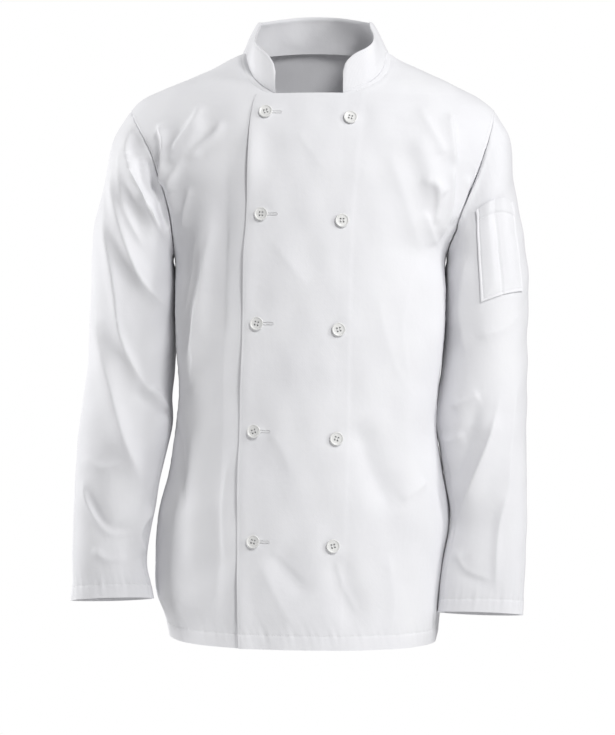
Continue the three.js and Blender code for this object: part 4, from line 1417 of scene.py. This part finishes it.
def button_mesh():
    """A button with a rolled rim, a dished middle and four holes through it."""
    radius, thick, half = BUTTON.radius, BUTTON.thick, BUTTON.rim / 2
    floor = thick - BUTTON.dish
    rim = [
        (radius - half + half * math.cos(a), thick - half + half * math.sin(a))
        for a in np.linspace(-0.2, math.pi * 0.86, 9)
    ]
    profile = [
        (0.3, 0.0),
        (radius - 2.2, 0.0),
        (radius - 0.9, 0.5),
        (radius - 0.15, 1.3),
        *rim,
        (radius - BUTTON.rim - 0.6, floor + 0.12),
        (radius - BUTTON.rim - 1.4, floor),
        (3.6, floor - 0.05),
        (0.3, floor - 0.1),
    ]
    body = linked_mesh("button_form", *lathe(profile, 48))
    drills = []
    for k in range(4):
        a = math.pi / 4 + k * math.pi / 2
        vertices, faces = lathe([(BUTTON.hole, -1), (BUTTON.hole, thick + 1)], 14)
        vertices = vertices + BUTTON.hole_out * np.array([math.cos(a), math.sin(a), 0])
        drills.append(linked_mesh("button_drill", vertices, faces))
        cut = body.modifiers.new("hole", "BOOLEAN")
        cut.object = drills[-1]
        cut.solver = "EXACT"
    bpy.context.view_layer.update()
    shaped = body.evaluated_get(bpy.context.evaluated_depsgraph_get())
    mesh = bpy.data.meshes.new_from_object(shaped)
    for helper in [*drills, body]:
        bpy.data.objects.remove(helper)
    mesh.name = "button"
    mesh.materials.clear()
    mesh.materials.append(RESIN)
    mesh.shade_smooth()
    mesh.set_sharp_from_angle(angle=math.radians(BUTTON_SHARP))
    return mesh


def thread_parts():
    """The threads over a button between its holes, and the shank under it."""
    foot = BUTTON.thick - BUTTON.dish - STRAND.below
    reach = BUTTON.hole_out * math.sin(math.pi / 4)
    share = np.linspace(-1, 1, 9)
    height = foot + STRAND.rise * np.sqrt(np.maximum(1 - np.abs(share) ** 3, 0))
    parts = []
    for side in (-1, 1):
        for beside in STRAND.beside:
            line = stack(side * reach + beside, share * (reach - STRAND.short), height)
            parts.append(tube(line, STRAND.radius, STRAND.sides))
    return [*parts, lathe(SHANK, 14)]


def make_buttons():
    """Each button on the flap, turned a little its own way, and its thread."""
    mesh = button_mesh()
    shapes = thread_parts()
    for column, places in BUTTONS.items():
        for k, (x, z) in enumerate(places):
            (place,), (out,) = on_flap(np.array([x]), z)
            right = unit(np.cross(out, UP))
            right = right * np.sign(right[0])
            up = unit(np.cross(out, right))
            up = up * np.sign(up[2])
            turn = BUTTON_TURN * math.sin(2.3 * k + BUTTON_PHASE[column])
            axis_x = right * math.cos(turn) + up * math.sin(turn)
            turned = np.array([axis_x, np.cross(out, axis_x), out])
            place = place + out * BUTTON.seat
            name = f"button_{column}_{k + 1}"
            button = linked(f"{name}_resin", mesh.copy())
            local = np.empty(len(mesh.vertices) * 3)
            mesh.vertices.foreach_get("co", local)
            moved = local.reshape(-1, 3) @ turned + place * MM
            button.data.vertices.foreach_set("co", moved.ravel())
            button.data.update()
            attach(button, "root")
            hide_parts(name)
            parts = [(vertices @ turned + place, faces) for vertices, faces in shapes]
            make_thread(f"{name}_thread", parts, TRIM_SHARP)


def satin(centre, across, out, kind):
    """One satin stitch that arches over the cloth."""
    share = np.linspace(-1, 1, 5)[:, None]
    line = centre + across * share + out * (1 - share**2) * kind.arch
    return tube(line, kind.radius, 5)


def make_buttonholes():
    """Satin-stitched buttonholes that show beside the buttons at the flap's edge, each with a painted
    shadow sheet in its slit.
    """
    for k, (x, z) in enumerate(BUTTONS["edge"]):
        start = x + BUTTONHOLE.start
        line, normals = on_flap(np.linspace(start, start + BUTTONHOLE.length, 40), z)
        run = np.gradient(line, axis=0)
        up = unit(np.cross(normals, run))
        up = up * np.sign(up[:, 2:3])
        quarter, half = BUTTONHOLE.width / 4, BUTTONHOLE.slit / 2
        parts = []
        for sign in (-1, 1):
            centres = line + up * sign * (quarter + half)
            for centre, across, out in zip(centres, up * quarter, normals):
                parts.append(satin(centre, across, out, SATIN_SIDE))
        for sign, i in ((-1, 0), (1, -1)):
            for step in range(4):
                past = sign * (SATIN_END.first + SATIN_END.step * step)
                centre = line[i] + unit(run)[i] * past
                parts.append(satin(centre, up[i] * quarter * 2, normals[i], SATIN_END))
        make_thread(f"buttonhole_{k + 1}", parts, TRIM_SHARP)
        # Painted shadow: a sheet along the slit stands for the shade inside it
        inside = line + normals * BUTTONHOLE.slit_lift
        ribbon = np.stack([inside - up * half, inside + up * half], axis=1).reshape(-1, 3)
        first = 2 * np.arange(len(line) - 1)[:, None]
        dark = make_mesh(f"buttonhole_{k + 1}_slit_shadow", ribbon, first + [0, 2, 3, 1], SHADOW)


# Room, light and camera, in metres

FLOOR = SimpleNamespace(z=-1.45, half=2.2, color=(0.85, 0.85, 0.85), roughness=0.9)
WORLD = SimpleNamespace(light=0.27, seen=1.0, color=(1, 1, 1, 1))
# Lights: where they stand, where they point, their size and their power
LIGHTS = {
    "right": ((2.65, -1.4, 0.75), (0, 0, -0.3), (0.7, 1.2), 32),
    "left": ((-2.6, 0.55, 0.2), (0, 0, -0.4), (0.7, 1.6), 58),
    "front": ((1.35, -2.7, 1.7), (0, 0, -0.4), (0.7, 0.7), 67),
}
CAMERA = SimpleNamespace(place=(-0.007, -3.2, -0.41), height_seen=0.9555, sensor=24.0, near=0.05)


def area_light(name, place, towards, size, power):
    """A soft light that points from one place to another."""
    data = bpy.data.lights.new(name, "AREA")
    data.shape = "RECTANGLE"
    data.size, data.size_y = size
    data.energy = power
    made = linked(name, data)
    made.location = place
    direction = np.array(towards, float) - np.array(place, float)
    yaw = math.atan2(direction[0], -direction[1])
    pitch = math.atan2(-direction[2], math.hypot(direction[0], direction[1]))
    made.rotation_euler = (math.pi / 2 - pitch, 0, yaw + math.pi)


def make_room():
    """A bright world, which lights the jacket less than it looks, a floor and three lights."""
    world = bpy.data.worlds.new("room")
    world.use_nodes = True
    nodes, links = world.node_tree.nodes, world.node_tree.links
    path = new_node(nodes, "ShaderNodeLightPath")
    strength = new_node(nodes, "ShaderNodeMapRange", To_Min=WORLD.light, To_Max=WORLD.seen)
    links.new(path.outputs["Is Camera Ray"], strength.inputs["Value"])
    nodes["Background"].inputs["Color"].default_value = WORLD.color
    links.new(strength.outputs["Result"], nodes["Background"].inputs["Strength"])
    bpy.context.scene.world = world
    bpy.context.scene.view_settings.view_transform = "Standard"
    mesh = bpy.data.meshes.new("floor")
    corners = [(-1, -1), (1, -1), (1, 1), (-1, 1)]
    corners = [(x * FLOOR.half, y * FLOOR.half, FLOOR.z) for x, y in corners]
    mesh.from_pydata(corners, [], [(0, 1, 2, 3)])
    mesh.materials.append(node_material("floor_paint", FLOOR.color, FLOOR.roughness))
    linked("floor", mesh)
    for name, light in LIGHTS.items():
        area_light(name, *light)


def make_camera():
    """A level camera in front, which sees a given height at the jacket."""
    data = bpy.data.cameras.new("camera")
    data.sensor_fit = "VERTICAL"
    data.sensor_height = CAMERA.sensor
    data.lens = CAMERA.sensor * -CAMERA.place[1] / CAMERA.height_seen
    data.clip_start = CAMERA.near
    camera = linked("camera", data)
    camera.location = CAMERA.place
    camera.rotation_euler = (math.pi / 2, 0, 0)
    bpy.context.scene.camera = camera


make_camera()
make_room()
make_fronts()
make_back()
make_sleeves()
make_collar()
make_pocket()
make_buttons()
make_buttonholes()

bpy.context.view_layer.update()
